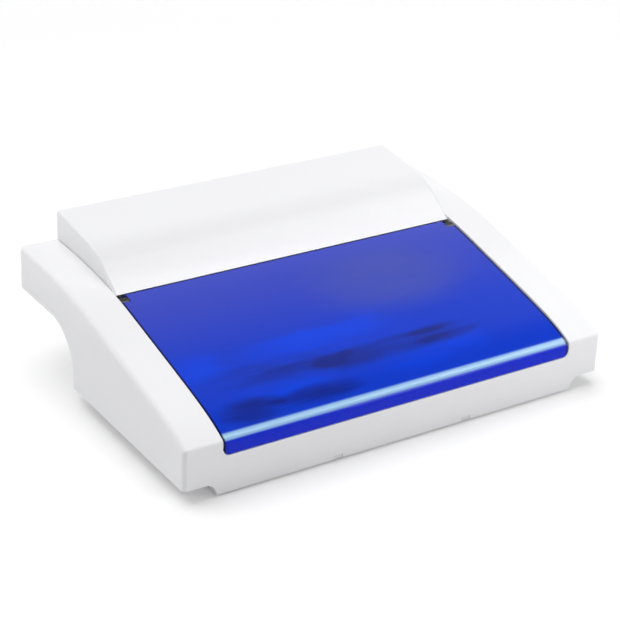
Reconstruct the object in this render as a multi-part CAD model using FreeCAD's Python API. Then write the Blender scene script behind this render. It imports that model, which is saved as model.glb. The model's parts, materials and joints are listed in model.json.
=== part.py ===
import FreeCAD, Part

import math
import os

# A bench-top ultraviolet steriliser box for small tools: a white two-winged body, a see-through lid hinged in
# front of a raised hood, a germicidal tube under the hood and a lift-out tray in the chamber.
# Millimetres. X runs across the width, Y from front to rear and Z up from the surface that it stands on.
# The origin is under the middle of the body. A depth is measured backwards from the front face.

# Whole body: the tube with the room at its ends sets the width between the wings
TUBE_LENGTH = 272.0
LAMP_END_ROOM = 30.0
WING_WIDTH = 34.0
BODY_DEPTH = 280.0
HOOD_HEIGHT = 126.0
HOOD_STAND = 26.0
FRONT_HEIGHT = 46.5
FOOT_STAND = 2.0
WALL = 2.8

# Gaps between pieces, and how far a cutter runs past what it cuts
FIT_GAP = 0.3
RUN_GAP = 0.06
PRESS_GAP = 0.02
OVERRUN = 5.0

# Body below the wings: a narrower base with coved sides, and a rear that overhangs an arched step
BASE_SETBACK = 29.0
BASE_DEPTH_SHARE = 23 / 35
COVE_RADIUS = 10.5
LAMP_STOREY = 66.0
ARCH_FOOT = 20.0
SIDE_ROUND = 4.0
FRONT_ROUND = 3.0
REAR_ROUND = 4.0

# Crown of the wings: control points as shares of the depth, and of the rise from front to rear
CROWN_SHARES = ((0.0, 0.0), (0.05, 0.16), (0.18, 0.35), (0.48, 0.715), (0.71, 1.0), (1.0, 1.0))
CROWN_DEGREE = 3

# Skirt down each side of the opening between the wings
SKIRT_WALL = 2.6
SKIRT_DEPTH = 8.0
SKIRT_ROUND = 0.8

# Lid
LID_SETBACK = 12.0
LID_RECESS = 1.5
LID_THICKNESS = 3.0
LID_SIDE_GAP = 0.8
LIP_SETBACK = 0.3
LIP_BOTTOM = 34.5
LIP_GAP = 0.7
LIP_CORNER = 5.0
BEND_RADIUS = 6.5

# Lid hinge
HINGE_INSET = 4.0
HINGE_DROP = 5.2
HINGE_PIN_RADIUS = 2.0
HINGE_PIN_GRIP = 8.0
HINGE_BOSS_RADIUS = 6.0
HINGE_BOSS_LENGTH = 10.0
EAR_WIDTH = 8.0
EAR_DEPTH = 9.0
EAR_RADIUS = 5.0
EAR_GAP = 0.2
EAR_TAB_WIDTH = 5.0
EAR_TAB_DEPTH = 6.0
EAR_TAB_THICKNESS = 2.2
EAR_SWEEP_ROOM = 2.0

# Hood
HOOD_GAP = 1.6
HOOD_WALL = 2.6
HOOD_SIDE_GAP = 0.4
HOOD_KNEE_SHARE = 0.35
HOOD_TOP_RISE = 8.3
HOOD_KNEE_RADIUS = 57.0
HOOD_REAR_ROUND = 3.5
HOOD_EDGE_ROUND = 2.0
HOOD_JOINT_DROP = 6.0
HOOD_SIDE_REACH = 5.0
HOOD_BOSS_RADIUS = 4.5
VENT_COUNT = 12
VENT_PITCH = 8.0
VENT_WIDTH = 3.0
VENT_HEIGHT = 12.0
VENT_DROP = 16.0

# Base cover with its snap tabs and feet
COVER_THICKNESS = 2.5
TAB_SPACING = 124.0
TAB_WIDTH = 8.0
TAB_HEIGHT = 3.0
TAB_SETBACK = 0.4
FOOT_RADIUS = 7.0
FOOT_STEM_RADIUS = 2.0
FOOT_SIDE_INSET = 21.0
FOOT_FRONT_DEPTH = 20.0
FOOT_REAR_INSET = 19.0

# Screws and the bosses that take them
SCREW_RADIUS = 1.5
SCREW_HEAD_RADIUS = 2.9
SCREW_HEAD_HEIGHT = 1.4
SCREW_HOLE_GAP = 0.2
SCREW_BITE = 10.0
BASE_BOSS_RADIUS = 3.6
BASE_BOSS_HEIGHT = 14.0
BASE_BOSS_INSET = 3.2
BASE_BOSS_SHARES = (0.1, 0.5, 0.9)
BASE_WEB_THICKNESS = 2.0
BASE_WEB_LENGTH = 8.0

# Chamber tub
TUB_WALL = 2.0
TUB_LEDGE = 6.0
TUB_FRONT_GAP = 2.2
TUB_REAR_GAP = 4.2
LEDGE_DROP = 6.0
SHELF_GAP = 3.2
SHELF_DEPTH = 44.0
FLOOR_SHEET_THICKNESS = 0.6
FLOOR_SHEET_GAP = 2.0
BUMPER_RADIUS = 2.2
BUMPER_DEPTH = 25.0

# Tool tray
TRAY_GAP = 8.0
TRAY_WALL = 2.0
TRAY_HEIGHT = 22.0
TRAY_LEG_HEIGHT = 3.0
TRAY_LEG_RADIUS = 4.0
TRAY_LEG_INSET = 14.0
TRAY_CORNER_RADIUS = 10.0
TRAY_RIM = 4.0
TRAY_SLOT_PITCH = 14.0
TRAY_SLOT_WIDTH = 5.0
TRAY_SLOT_BRIDGE = 20.0
TRAY_SLOT_SIDE_INSET = 24.0
TRAY_SLOT_END_INSET = 10.0

# Ultraviolet tube and its holders
LAMP_SETBACK = 21.0
LAMP_LIFT = 16.0
TUBE_RADIUS = 7.75
CAP_RADIUS = 8.0
CAP_LENGTH = 8.0
PIN_RADIUS = 1.18
PIN_LENGTH = 7.0
PIN_SPACING = 4.75
HOLDER_THICKNESS = 10.0
HOLDER_DEPTH = 20.0
HOLDER_RISE = 11.0
ROTOR_RADIUS = 5.5
ROTOR_LENGTH = 7.4
HOLDER_SCREW_SPACING = 13.0
HOLDER_SCREW_RADIUS = 1.2
HOLDER_SCREW_LENGTH = 6.0

# Lamp reflector and guard, placed from the lamp's axis
REFLECTOR_THICKNESS = 0.8
REFLECTOR_END_GAP = 2.0
REFLECTOR_KNEE_RISE = 6.0
REFLECTOR_TOP_BACK = 9.0
REFLECTOR_TOP_RISE = 18.0
REFLECTOR_EDGE_FRONT = 11.0
REFLECTOR_EDGE_RISE = 11.0
GUARD_RADIUS = 12.5
GUARD_WIRE_RADIUS = 1.0
GUARD_ROD_INSET = 1.5
GUARD_END_GAP = 6.3
GUARD_HOOPS = 5
GUARD_HOOP_INSET = 14.0
GUARD_START_DEGREES = 140.0
GUARD_END_DEGREES = 285.0
GUARD_ROD_DEGREES = (150.0, 195.0, 240.0)

# Rear partition behind the reflector
PARTITION_THICKNESS = 2.0
PARTITION_SIDE_GAP = 10.0
PARTITION_RISE = 34.0
PARTITION_REAR_GAP = 0.9
POST_RADIUS = 5.0
POST_SIDE_INSET = 34.0
POST_FRONT_INSET = 11.0
POST_REAR_INSET = 8.0

# Rear pocket with the rocker switch and the cord gland
POCKET_WIDTH = 92.0
POCKET_HEIGHT = 25.0
POCKET_DEPTH = 5.0
POCKET_INSET = 46.0
POCKET_RISE = 17.5
POCKET_ROUND = 3.0
PANEL_SPACING = 56.0
SWITCH_WIDTH = 12.8
SWITCH_HEIGHT = 19.0
SWITCH_LENGTH = 18.0
SWITCH_FLANGE = 1.3
SWITCH_FLANGE_THICKNESS = 1.5
SWITCH_CHEEK = 0.9
SWITCH_BLADE_WIDTH = 4.8
SWITCH_BLADE_THICKNESS = 0.8
SWITCH_BLADE_LENGTH = 7.0
SWITCH_BLADE_PITCH = 7.0
ROCKER_HEIGHT = 16.4
ROCKER_RISE = 3.0
ROCKER_DIP = 1.5
ROCKER_BELLY = 2.0
ROCKER_DEGREES = 10.0
ROCKER_WELL = 4.4
ROCKER_PIN_RADIUS = 1.0
ROCKER_PIN_LENGTH = 0.6
GLAND_RADIUS = 6.5
GLAND_BORE_RADIUS = 3.2
GLAND_FLANGE_RADIUS = 9.0
GLAND_FLANGE_THICKNESS = 2.0
GLAND_TAIL = 6.0
GLAND_NUT_RADIUS = 9.5
GLAND_NUT_THICKNESS = 4.0
NUT_SIDES = 6

# Ballast in the right wing
BALLAST_REAR_GAP = 15.0
BALLAST_LENGTH = 60.0
BALLAST_WIDTH = 22.0
BALLAST_HEADROOM = 5.7
BALLAST_LEG_SHARE = 0.25
BALLAST_EAR_LENGTH = 9.0
BALLAST_EAR_THICKNESS = 1.6
BALLAST_BOSS_HEIGHT = 5.0
BALLAST_BOSS_RADIUS = 4.0
WINDING_BULGE = 3.0

# Starter and terminal block in the left wing
STARTER_REAR_INSET = 34.0
STARTER_RADIUS = 10.75
STARTER_LENGTH = 36.0
STARTER_ROUND = 2.0
SOCKET_WIDTH = 24.0
SOCKET_HEIGHT = 10.0
STARTER_PIN_RADIUS = 2.4
STARTER_PIN_SPACING = 12.7
STARTER_PIN_LENGTH = 5.0
TERMINAL_SPACING = 55.0
TERMINAL_WIDTH = 17.0
TERMINAL_LENGTH = 34.0
TERMINAL_HEIGHT = 13.0
TERMINAL_WAYS = 3
TERMINAL_SCREW_RADIUS = 1.8
TERMINAL_SCREW_LENGTH = 5.0

# Lid interlock on the right ledge
INTERLOCK_DEPTH = 60.0
INTERLOCK_LENGTH = 19.8
INTERLOCK_WIDTH = 6.4
INTERLOCK_HEIGHT = 10.2
INTERLOCK_DROP = 6.0
INTERLOCK_SCREW_RADIUS = 1.0
INTERLOCK_SCREW_HEAD = 1.9
INTERLOCK_SCREW_SPACING = 9.5
PLUNGER_RADIUS = 1.2
PLUNGER_REACH = 2.0
PLUNGER_TIP_GAP = 0.7

# Insulated leads
LEAD_RADIUS = 0.9
LEAD_BEND = 7.0
LEAD_CROSSING = 8.5
LEAD_AISLE = 6.0
LEAD_DROP = 18.0
LEAD_HEADROOM = 2.0
LEAD_RISE = 20.0
LEAD_ENTRY_BACK = 5.0
LEAD_ENTRY_RISE = 2.5
LEAD_WELL = 12.0

# Places worked out from the sizes above
FRONT = -BODY_DEPTH / 2
HALF_OPENING = TUBE_LENGTH / 2 + LAMP_END_ROOM
HALF_WIDTH = HALF_OPENING + WING_WIDTH
HALF_BASE = HALF_WIDTH - BASE_SETBACK
BASE_DEPTH = BODY_DEPTH * BASE_DEPTH_SHARE
WING_HEIGHT = HOOD_HEIGHT - HOOD_STAND
OVERHANG_HEIGHT = HOOD_HEIGHT - LAMP_STOREY
BODY_BOTTOM = FOOT_STAND
ARCH_RADIUS = OVERHANG_HEIGHT - BODY_BOTTOM - ARCH_FOOT
LID_DEPTH = BASE_DEPTH - LID_SETBACK
WING_FLOOR = BODY_BOTTOM + COVE_RADIUS + WALL
OVERHANG_FLOOR = OVERHANG_HEIGHT + WALL
ARCH_DEPTH = BASE_DEPTH + ARCH_RADIUS
COVER_TOP = BODY_BOTTOM + COVER_THICKNESS
TUB_HALF = HALF_OPENING - TUB_LEDGE
TUB_FRONT = LIP_SETBACK + LID_THICKNESS + TUB_FRONT_GAP
TUB_REAR = BASE_DEPTH - WALL - TUB_REAR_GAP
TUB_FLOOR = COVER_TOP + TUB_WALL
SHELF_BOTTOM = OVERHANG_FLOOR + SHELF_GAP
SHELF_TOP = SHELF_BOTTOM + TUB_WALL
SHELF_REAR = TUB_REAR + SHELF_DEPTH
FLOOR_SHEET_TOP = TUB_FLOOR + FLOOR_SHEET_THICKNESS
LAMP_DEPTH = TUB_REAR + LAMP_SETBACK
LAMP_HEIGHT = SHELF_TOP + LAMP_LIFT
CAP_END = TUBE_LENGTH / 2 + CAP_LENGTH
HOLDER_FACE = CAP_END + FIT_GAP
PARTITION_FACE = SHELF_REAR + FIT_GAP
PARTITION_TOP = SHELF_BOTTOM + PARTITION_THICKNESS
POCKET_HEIGHT_MIDDLE = OVERHANG_HEIGHT + POCKET_RISE
POCKET_FACE = BODY_DEPTH - POCKET_DEPTH
POCKET_BACK = POCKET_FACE - WALL
PARTITION_REAR = POCKET_BACK - PARTITION_REAR_GAP
POST_X = HALF_OPENING - POST_SIDE_INSET
POCKET_X = POCKET_INSET - POST_X
POST_DEPTHS = (PARTITION_FACE + POST_FRONT_INSET, PARTITION_REAR - POST_REAR_INSET)
SWITCH_X, GLAND_X = POCKET_X + PANEL_SPACING / 2, POCKET_X - PANEL_SPACING / 2
WING_MIDDLE = (HALF_OPENING + SKIRT_WALL + HALF_WIDTH - WALL) / 2
BALLAST_BOTTOM = WING_FLOOR + BALLAST_BOSS_HEIGHT
BALLAST_HEIGHT = SHELF_BOTTOM - BALLAST_HEADROOM - BALLAST_BOTTOM
BALLAST_LEG = BALLAST_HEIGHT * BALLAST_LEG_SHARE
BALLAST_BOSS_REACH = BALLAST_LENGTH / 2 + BALLAST_EAR_LENGTH / 2
BALLAST_DEPTH = BASE_DEPTH - BALLAST_REAR_GAP - BALLAST_EAR_LENGTH - BALLAST_LENGTH / 2
STARTER_DEPTH = BASE_DEPTH - STARTER_REAR_INSET
TERMINAL_DEPTH = STARTER_DEPTH - TERMINAL_SPACING
FOOT_REAR_DEPTH = BASE_DEPTH - FOOT_REAR_INSET
GUARD_HALF = HOLDER_FACE - GUARD_END_GAP
HOOD_FRONT = LID_DEPTH + HOOD_GAP
HOOD_KNEE_DEPTH = HOOD_FRONT + HOOD_KNEE_SHARE * (BODY_DEPTH - HOOD_FRONT)
HOOD_KNEE_HEIGHT = HOOD_HEIGHT - HOOD_TOP_RISE
HOOD_HALF = HALF_OPENING - HOOD_SIDE_GAP
HOOD_JOINT = WING_HEIGHT - HOOD_JOINT_DROP
LID_HALF = HALF_OPENING - LID_SIDE_GAP
LID_UNDER_DROP = LID_RECESS + LID_THICKNESS
EAR_INNER = LID_HALF - EAR_WIDTH
HINGE_DEPTH = LID_DEPTH - HINGE_INSET


def span(middle, length):
    """Low and high ends of a length centred on a place."""
    return (middle - length / 2, middle + length / 2)


def spot(depth, height, x=0.0):
    """Point at a depth behind the front face."""
    return FreeCAD.Vector(x, FRONT + depth, height)


def block(x, depth, height):
    """Block between two planes each way."""
    corner = spot(depth[0], height[0], x[0])
    return Part.makeBox(x[1] - x[0], depth[1] - depth[0], height[1] - height[0], corner)


def rod(start, end, radius):
    """Round rod from one point to another."""
    return Part.makeCylinder(radius, (end - start).Length, start, end - start)


def rod_up(x, depth, radius, height):
    return rod(spot(depth, height[0], x), spot(depth, height[1], x), radius)


def rod_across(depth, height, radius, x):
    return rod(spot(depth, height, x[0]), spot(depth, height, x[1]), radius)


def rod_back(x, height, radius, depth):
    return rod(spot(depth[0], height, x), spot(depth[1], height, x), radius)


def line(start, end):
    return Part.LineSegment(start, end).toShape()


def closed_lines(points):
    """Edges of a closed outline through points."""
    return [line(a, b) for a, b in zip(points, points[1:] + points[:1])]


def prism(edges, start, end):
    """Solid swept from a closed outline, whose place along the sweep is start, to end."""
    face = Part.Face(Part.Wire(Part.__sortEdges__(edges)))
    face.translate(start)
    return face.extrude(end - start)


def across(edges, x):
    """Sweep an outline of the side view across the width."""
    return prism(edges, FreeCAD.Vector(x[0], 0, 0), FreeCAD.Vector(x[1], 0, 0))


def mirrored(shape):
    return shape.mirror(FreeCAD.Vector(0, 0, 0), FreeCAD.Vector(1, 0, 0))


def pair(shape):
    """A right-hand shape and its left-hand mirror image."""
    return [shape, mirrored(shape)]


def joined(shape, others):
    return shape.fuse(others).removeSplitter()


def edges_along_x(shape, depth, height):
    """Straight edges across the width at a place in the side view."""
    place = spot(depth, height)
    found = []
    for edge in shape.Edges:
        offsets = [vertex.Point - place for vertex in edge.Vertexes]
        if all(math.hypot(offset.y, offset.z) < PRESS_GAP for offset in offsets):
            found.append(edge)
    return found


def edges_on_sides(shape, half, floor):
    """Edges on the two outer side planes, above a floor height."""
    found = []
    for edge in shape.Edges:
        box = edge.BoundBox
        on_side = abs(abs(box.Center.x) - half) < PRESS_GAP and box.XLength < PRESS_GAP
        if on_side and box.ZMax > floor + PRESS_GAP:
            found.append(edge)
    return found


def crown_curve(drop):
    """Top line of the wings in the side view, lowered by a drop."""
    rise = WING_HEIGHT - FRONT_HEIGHT
    poles = [spot(depth * BODY_DEPTH, FRONT_HEIGHT + up * rise - drop) for depth, up in CROWN_SHARES]
    spans = len(poles) - CROWN_DEGREE
    knots = [index / spans for index in range(spans + 1)]
    mults = [CROWN_DEGREE + 1] + [1] * (spans - 1) + [CROWN_DEGREE + 1]
    curve = Part.BSplineCurve()
    curve.buildFromPolesMultsKnots(poles, mults, knots, False, CROWN_DEGREE)
    return curve


def crown_height(depth):
    """Height of the wing tops at a depth, found by halving."""
    curve = crown_curve(0)
    low, high = 0.0, 1.0
    while high - low > 1e-9:
        middle = (low + high) / 2
        if curve.value(middle).y < FRONT + depth:
            low = middle
        else:
            high = middle
    return curve.value(low).z


def under_crown(drop, x, depth, floor):
    """Solid between a floor and the crown lowered by a drop, over part of the width and depth."""
    top = crown_curve(drop).toShape()
    front, rear = spot(0, floor), spot(BODY_DEPTH, floor)
    first, last = top.Vertexes[0].Point, top.Vertexes[-1].Point
    whole = across([top, line(last, rear), line(rear, front), line(front, first)], x)
    return whole.common(block(x, depth, (floor, HOOD_HEIGHT)))


def crown_strip(high_drop, low_drop, x, depth):
    """Curved strip between two drops below the crown."""
    floor = FRONT_HEIGHT - low_drop - OVERRUN
    upper = under_crown(high_drop, x, depth, floor)
    return upper.cut(under_crown(low_drop, x, depth, floor))


def shifted_path(path, distance):
    """Side-view path of (depth, height) points moved sideways to its right, with mitred corners."""
    normals = []
    for (depth_a, height_a), (depth_b, height_b) in zip(path, path[1:]):
        run, rise = depth_b - depth_a, height_b - height_a
        length = math.hypot(run, rise)
        normals.append((rise / length, -run / length))
    moved = []
    for index, (depth, height) in enumerate(path):
        before = normals[max(index - 1, 0)]
        after = normals[min(index, len(normals) - 1)]
        scale = distance / (1 + before[0] * after[0] + before[1] * after[1])
        moved.append((depth + scale * (before[0] + after[0]), height + scale * (before[1] + after[1])))
    return moved


def screw(seat, way, length, radius, head_radius, head_height):
    """Pan-head screw whose head rests on a seat, with its shank pointing a way."""
    shank = rod(seat, seat + way * length, radius)
    head = rod(seat - way * head_height, seat, head_radius)
    return joined(shank, [head])


def tube_along(points, radius, bend):
    """Round lead along straight runs joined by tangent arcs."""
    edges = []
    start = points[0]
    for before, corner, after in zip(points, points[1:], points[2:]):
        back = (before - corner).normalize()
        ahead = (after - corner).normalize()
        half_turn = (math.pi - back.getAngle(ahead)) / 2
        reach = bend * math.tan(half_turn)
        middle = (back + ahead).normalize()
        inside = corner + middle * (bend / math.cos(half_turn) - bend)
        arc_start, arc_end = corner + back * reach, corner + ahead * reach
        edges.append(line(start, arc_start))
        edges.append(Part.Arc(arc_start, inside, arc_end).toShape())
        start = arc_end
    edges.append(line(start, points[-1]))
    ring = Part.makeCircle(radius, points[0], points[1] - points[0])
    return Part.Wire(edges).makePipeShell([Part.Wire(ring)], True, False)


HINGE_HEIGHT = crown_height(HINGE_DEPTH) - LID_RECESS - HINGE_DROP
HOOD_FRONT_HEIGHT = crown_height(HOOD_FRONT) - LID_RECESS
EAR_SWEEP = math.hypot(HINGE_INSET, crown_height(LID_DEPTH) - LID_RECESS - HINGE_HEIGHT) + EAR_SWEEP_ROOM
BASE_BOSS_X = HALF_BASE - WALL - BASE_BOSS_INSET
BASE_BOSS_PLACES = [(BASE_BOSS_X * side, share * BASE_DEPTH) for side in (-1, 1) for share in BASE_BOSS_SHARES]
POST_PLACES = [(POST_X * side, depth) for side in (-1, 1) for depth in POST_DEPTHS]
BALLAST_SCREW_DEPTHS = [BALLAST_DEPTH - BALLAST_BOSS_REACH, BALLAST_DEPTH + BALLAST_BOSS_REACH]
SCREW_HOLE = SCREW_RADIUS + SCREW_HOLE_GAP


def flare(inset):
    """Front-view outline of the body, set in by a wall: narrow base, coved sides and wide wings."""
    base = HALF_BASE - inset
    wing = HALF_WIDTH - inset
    cove = COVE_RADIUS + inset
    cove_x = HALF_BASE + COVE_RADIUS
    wing_low = BODY_BOTTOM + cove
    low = BODY_BOTTOM - OVERRUN
    half_turn = math.sqrt(0.5)
    right = [(base, low), (base, BODY_BOTTOM), (cove_x - cove * half_turn, BODY_BOTTOM + cove * half_turn)]
    right += [(cove_x, wing_low), (wing, wing_low), (wing, HOOD_HEIGHT)]
    edges = []
    for side in (-1, 1):
        points = [FreeCAD.Vector(x * side, FRONT, z) for x, z in right]
        edges.append(line(points[0], points[1]))
        edges.append(Part.Arc(points[1], points[2], points[3]).toShape())
        edges += [line(points[3], points[4]), line(points[4], points[5])]
    for x, z in (right[0], right[-1]):
        edges.append(line(FreeCAD.Vector(-x, FRONT, z), FreeCAD.Vector(x, FRONT, z)))
    return prism(edges, FreeCAD.Vector(0, 0, 0), FreeCAD.Vector(0, BODY_DEPTH, 0))


def body_outside():
    """Outer form of the body with its rounded edges, solid right through."""
    crown = crown_curve(0).toShape()
    arch_low = OVERHANG_HEIGHT - ARCH_RADIUS
    slant = ARCH_RADIUS * math.sqrt(0.5)
    arch = Part.Arc(
        spot(ARCH_DEPTH, OVERHANG_HEIGHT),
        spot(ARCH_DEPTH - slant, arch_low + slant),
        spot(BASE_DEPTH, arch_low),
    ).toShape()
    corners = [spot(BODY_DEPTH, WING_HEIGHT), spot(BODY_DEPTH, OVERHANG_HEIGHT), spot(ARCH_DEPTH, OVERHANG_HEIGHT)]
    lower = [spot(BASE_DEPTH, arch_low), spot(BASE_DEPTH, BODY_BOTTOM)]
    lower += [spot(0, BODY_BOTTOM), spot(0, FRONT_HEIGHT)]
    edges = [crown, arch]
    edges += [line(a, b) for a, b in zip(corners, corners[1:])]
    edges += [line(a, b) for a, b in zip(lower, lower[1:])]
    solid = across(edges, (-HALF_WIDTH, HALF_WIDTH))
    solid = solid.makeFillet(FRONT_ROUND, edges_along_x(solid, 0, FRONT_HEIGHT))
    solid = solid.makeFillet(REAR_ROUND, edges_along_x(solid, BODY_DEPTH, WING_HEIGHT))
    solid = solid.makeFillet(REAR_ROUND, edges_along_x(solid, BODY_DEPTH, OVERHANG_HEIGHT))
    solid = solid.common(flare(0))
    return solid.makeFillet(SIDE_ROUND, edges_on_sides(solid, HALF_WIDTH, BODY_BOTTOM + COVE_RADIUS))


def body_cavity():
    """Hollow inside the body, open at the bottom of the base."""
    low = BODY_BOTTOM - OVERRUN
    inside = under_crown(WALL, (-HALF_WIDTH, HALF_WIDTH), (WALL, BODY_DEPTH - WALL), low)
    arch_low = OVERHANG_HEIGHT - ARCH_RADIUS
    reach = ARCH_RADIUS + WALL
    slant = reach * math.sqrt(0.5)
    arch = Part.Arc(
        spot(ARCH_DEPTH, OVERHANG_FLOOR),
        spot(ARCH_DEPTH - slant, arch_low + slant),
        spot(ARCH_DEPTH - reach, arch_low),
    ).toShape()
    points = [spot(ARCH_DEPTH - reach, arch_low), spot(ARCH_DEPTH - reach, low), spot(BODY_DEPTH, low)]
    points += [spot(BODY_DEPTH, OVERHANG_FLOOR), spot(ARCH_DEPTH, OVERHANG_FLOOR)]
    step = across([arch] + [line(a, b) for a, b in zip(points, points[1:])], (-HALF_WIDTH, HALF_WIDTH))
    return inside.cut(step).common(flare(WALL))


def body_bosses(outside):
    """Screw bosses, posts and hinge bosses moulded inside the body's outer form."""
    bosses = []
    for x, depth in BASE_BOSS_PLACES:
        top = COVER_TOP + BASE_BOSS_HEIGHT
        bosses.append(rod_up(x, depth, BASE_BOSS_RADIUS, (COVER_TOP, top)))
        outward = math.copysign(BASE_WEB_LENGTH, x)
        web = block(sorted((x, x + outward)), span(depth, BASE_WEB_THICKNESS), (COVER_TOP, top))
        bosses.append(web.common(outside))
    for x, depth in POST_PLACES:
        bosses.append(rod_up(x, depth, POST_RADIUS, (OVERHANG_HEIGHT + WALL / 2, SHELF_BOTTOM)))
    for depth in BALLAST_SCREW_DEPTHS:
        bosses.append(rod_up(WING_MIDDLE, depth, BALLAST_BOSS_RADIUS, (WING_FLOOR - WALL / 2, BALLAST_BOTTOM)))
    hinge = rod_across(
        HINGE_DEPTH, HINGE_HEIGHT, HINGE_BOSS_RADIUS, (HALF_OPENING, HALF_OPENING + HINGE_BOSS_LENGTH)
    )
    return bosses + pair(hinge)


def body_holes():
    """Screw holes, hinge pin holes and snap tab notches through the body."""
    holes = []
    for x, depth in BASE_BOSS_PLACES:
        holes.append(rod_up(x, depth, SCREW_RADIUS + PRESS_GAP, (BODY_BOTTOM, COVER_TOP + SCREW_BITE + OVERRUN)))
    for x, depth in POST_PLACES:
        holes.append(rod_up(x, depth, SCREW_HOLE, (OVERHANG_HEIGHT - OVERRUN, SHELF_BOTTOM + OVERRUN)))
        seat = OVERHANG_HEIGHT + SCREW_HEAD_HEIGHT
        holes.append(rod_up(x, depth, SCREW_HEAD_RADIUS + SCREW_HOLE_GAP, (OVERHANG_HEIGHT - OVERRUN, seat)))
    for depth in BALLAST_SCREW_DEPTHS:
        holes.append(rod_up(WING_MIDDLE, depth, SCREW_RADIUS + PRESS_GAP, (WING_FLOOR, BALLAST_BOTTOM + OVERRUN)))
    end = HALF_OPENING + HINGE_BOSS_LENGTH + OVERRUN
    pin = rod_across(HINGE_DEPTH, HINGE_HEIGHT, HINGE_PIN_RADIUS + PRESS_GAP, (HALF_OPENING - OVERRUN, end))
    notch_top = BODY_BOTTOM + TAB_HEIGHT + FIT_GAP
    notch_x = span(TAB_SPACING / 2, TAB_WIDTH + 2 * FIT_GAP)
    notch = block(notch_x, (-OVERRUN, WALL + OVERRUN), (BODY_BOTTOM - OVERRUN, notch_top))
    return holes + pair(pin) + pair(notch)


def rear_pocket(grow, front, rear):
    """Rounded block of the rear pocket, grown by a wall."""
    x = span(POCKET_X, POCKET_WIDTH + 2 * grow)
    solid = block(x, (front, rear), span(POCKET_HEIGHT_MIDDLE, POCKET_HEIGHT + 2 * grow))
    upright = [edge for edge in solid.Edges if edge.BoundBox.YLength > rear - front - PRESS_GAP]
    return solid.makeFillet(POCKET_ROUND + grow, upright)


def body_shell():
    """White outer moulding: wings, front and rear walls, coved sides and arched overhang."""
    outside = body_outside()
    shell = outside.cut(body_cavity())
    opening_x = (-HALF_OPENING, HALF_OPENING)
    top = HOOD_HEIGHT
    skin_depth = (0, BODY_DEPTH - WALL)
    skin = block(opening_x, skin_depth, (FRONT_HEIGHT - SKIRT_DEPTH, top))
    skin = skin.cut(under_crown(SKIRT_DEPTH, opening_x, skin_depth, BODY_BOTTOM))
    lip_notch = block(opening_x, (-OVERRUN, WALL), (LIP_BOTTOM - LIP_GAP, top))
    lip_corners = [edge for edge in edges_on_sides(lip_notch, HALF_OPENING, 0) if edge.BoundBox.ZMax < LIP_BOTTOM]
    lip_notch = lip_notch.makeFillet(LIP_CORNER + LIP_GAP, lip_corners)
    shell = shell.cut([skin, lip_notch])
    shell = shell.cut(block(opening_x, (BODY_DEPTH - WALL, BODY_DEPTH + OVERRUN), (HOOD_JOINT, top)))
    skirt_x = (HALF_OPENING, HALF_OPENING + SKIRT_WALL)
    skirt = crown_strip(WALL / 2, SKIRT_DEPTH, skirt_x, (WALL / 2, BODY_DEPTH - WALL / 2))
    pocket_wall = rear_pocket(WALL, POCKET_BACK, BODY_DEPTH - WALL / 2)
    shell = joined(shell, pair(skirt) + body_bosses(outside) + [pocket_wall])
    inner_edges = edges_on_sides(shell, HALF_OPENING, HOOD_JOINT)
    shell = shell.makeFillet(SKIRT_ROUND, [edge for edge in inner_edges if edge.BoundBox.YLength > BASE_DEPTH])
    holes = body_holes() + [rear_pocket(0, POCKET_FACE, BODY_DEPTH + OVERRUN)]
    panel = (POCKET_BACK - OVERRUN, POCKET_FACE + OVERRUN)
    switch_x = span(SWITCH_X, SWITCH_WIDTH + 2 * FIT_GAP)
    holes.append(block(switch_x, panel, span(POCKET_HEIGHT_MIDDLE, SWITCH_HEIGHT + 2 * FIT_GAP)))
    holes.append(rod_back(GLAND_X, POCKET_HEIGHT_MIDDLE, GLAND_RADIUS + RUN_GAP, panel))
    return shell.cut(holes)


def hood_solid(path, rounds, x, low):
    """Solid under a hood path of (depth, height) points, rounded at its knee and rear edge."""
    outline = [spot(depth, height) for depth, height in path]
    outline += [spot(depth, height) for depth, height in low]
    solid = across(closed_lines(outline), x)
    for (depth, height), radius in zip(path[1:3], rounds):
        solid = solid.makeFillet(radius, edges_along_x(solid, depth, height))
    return solid


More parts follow.
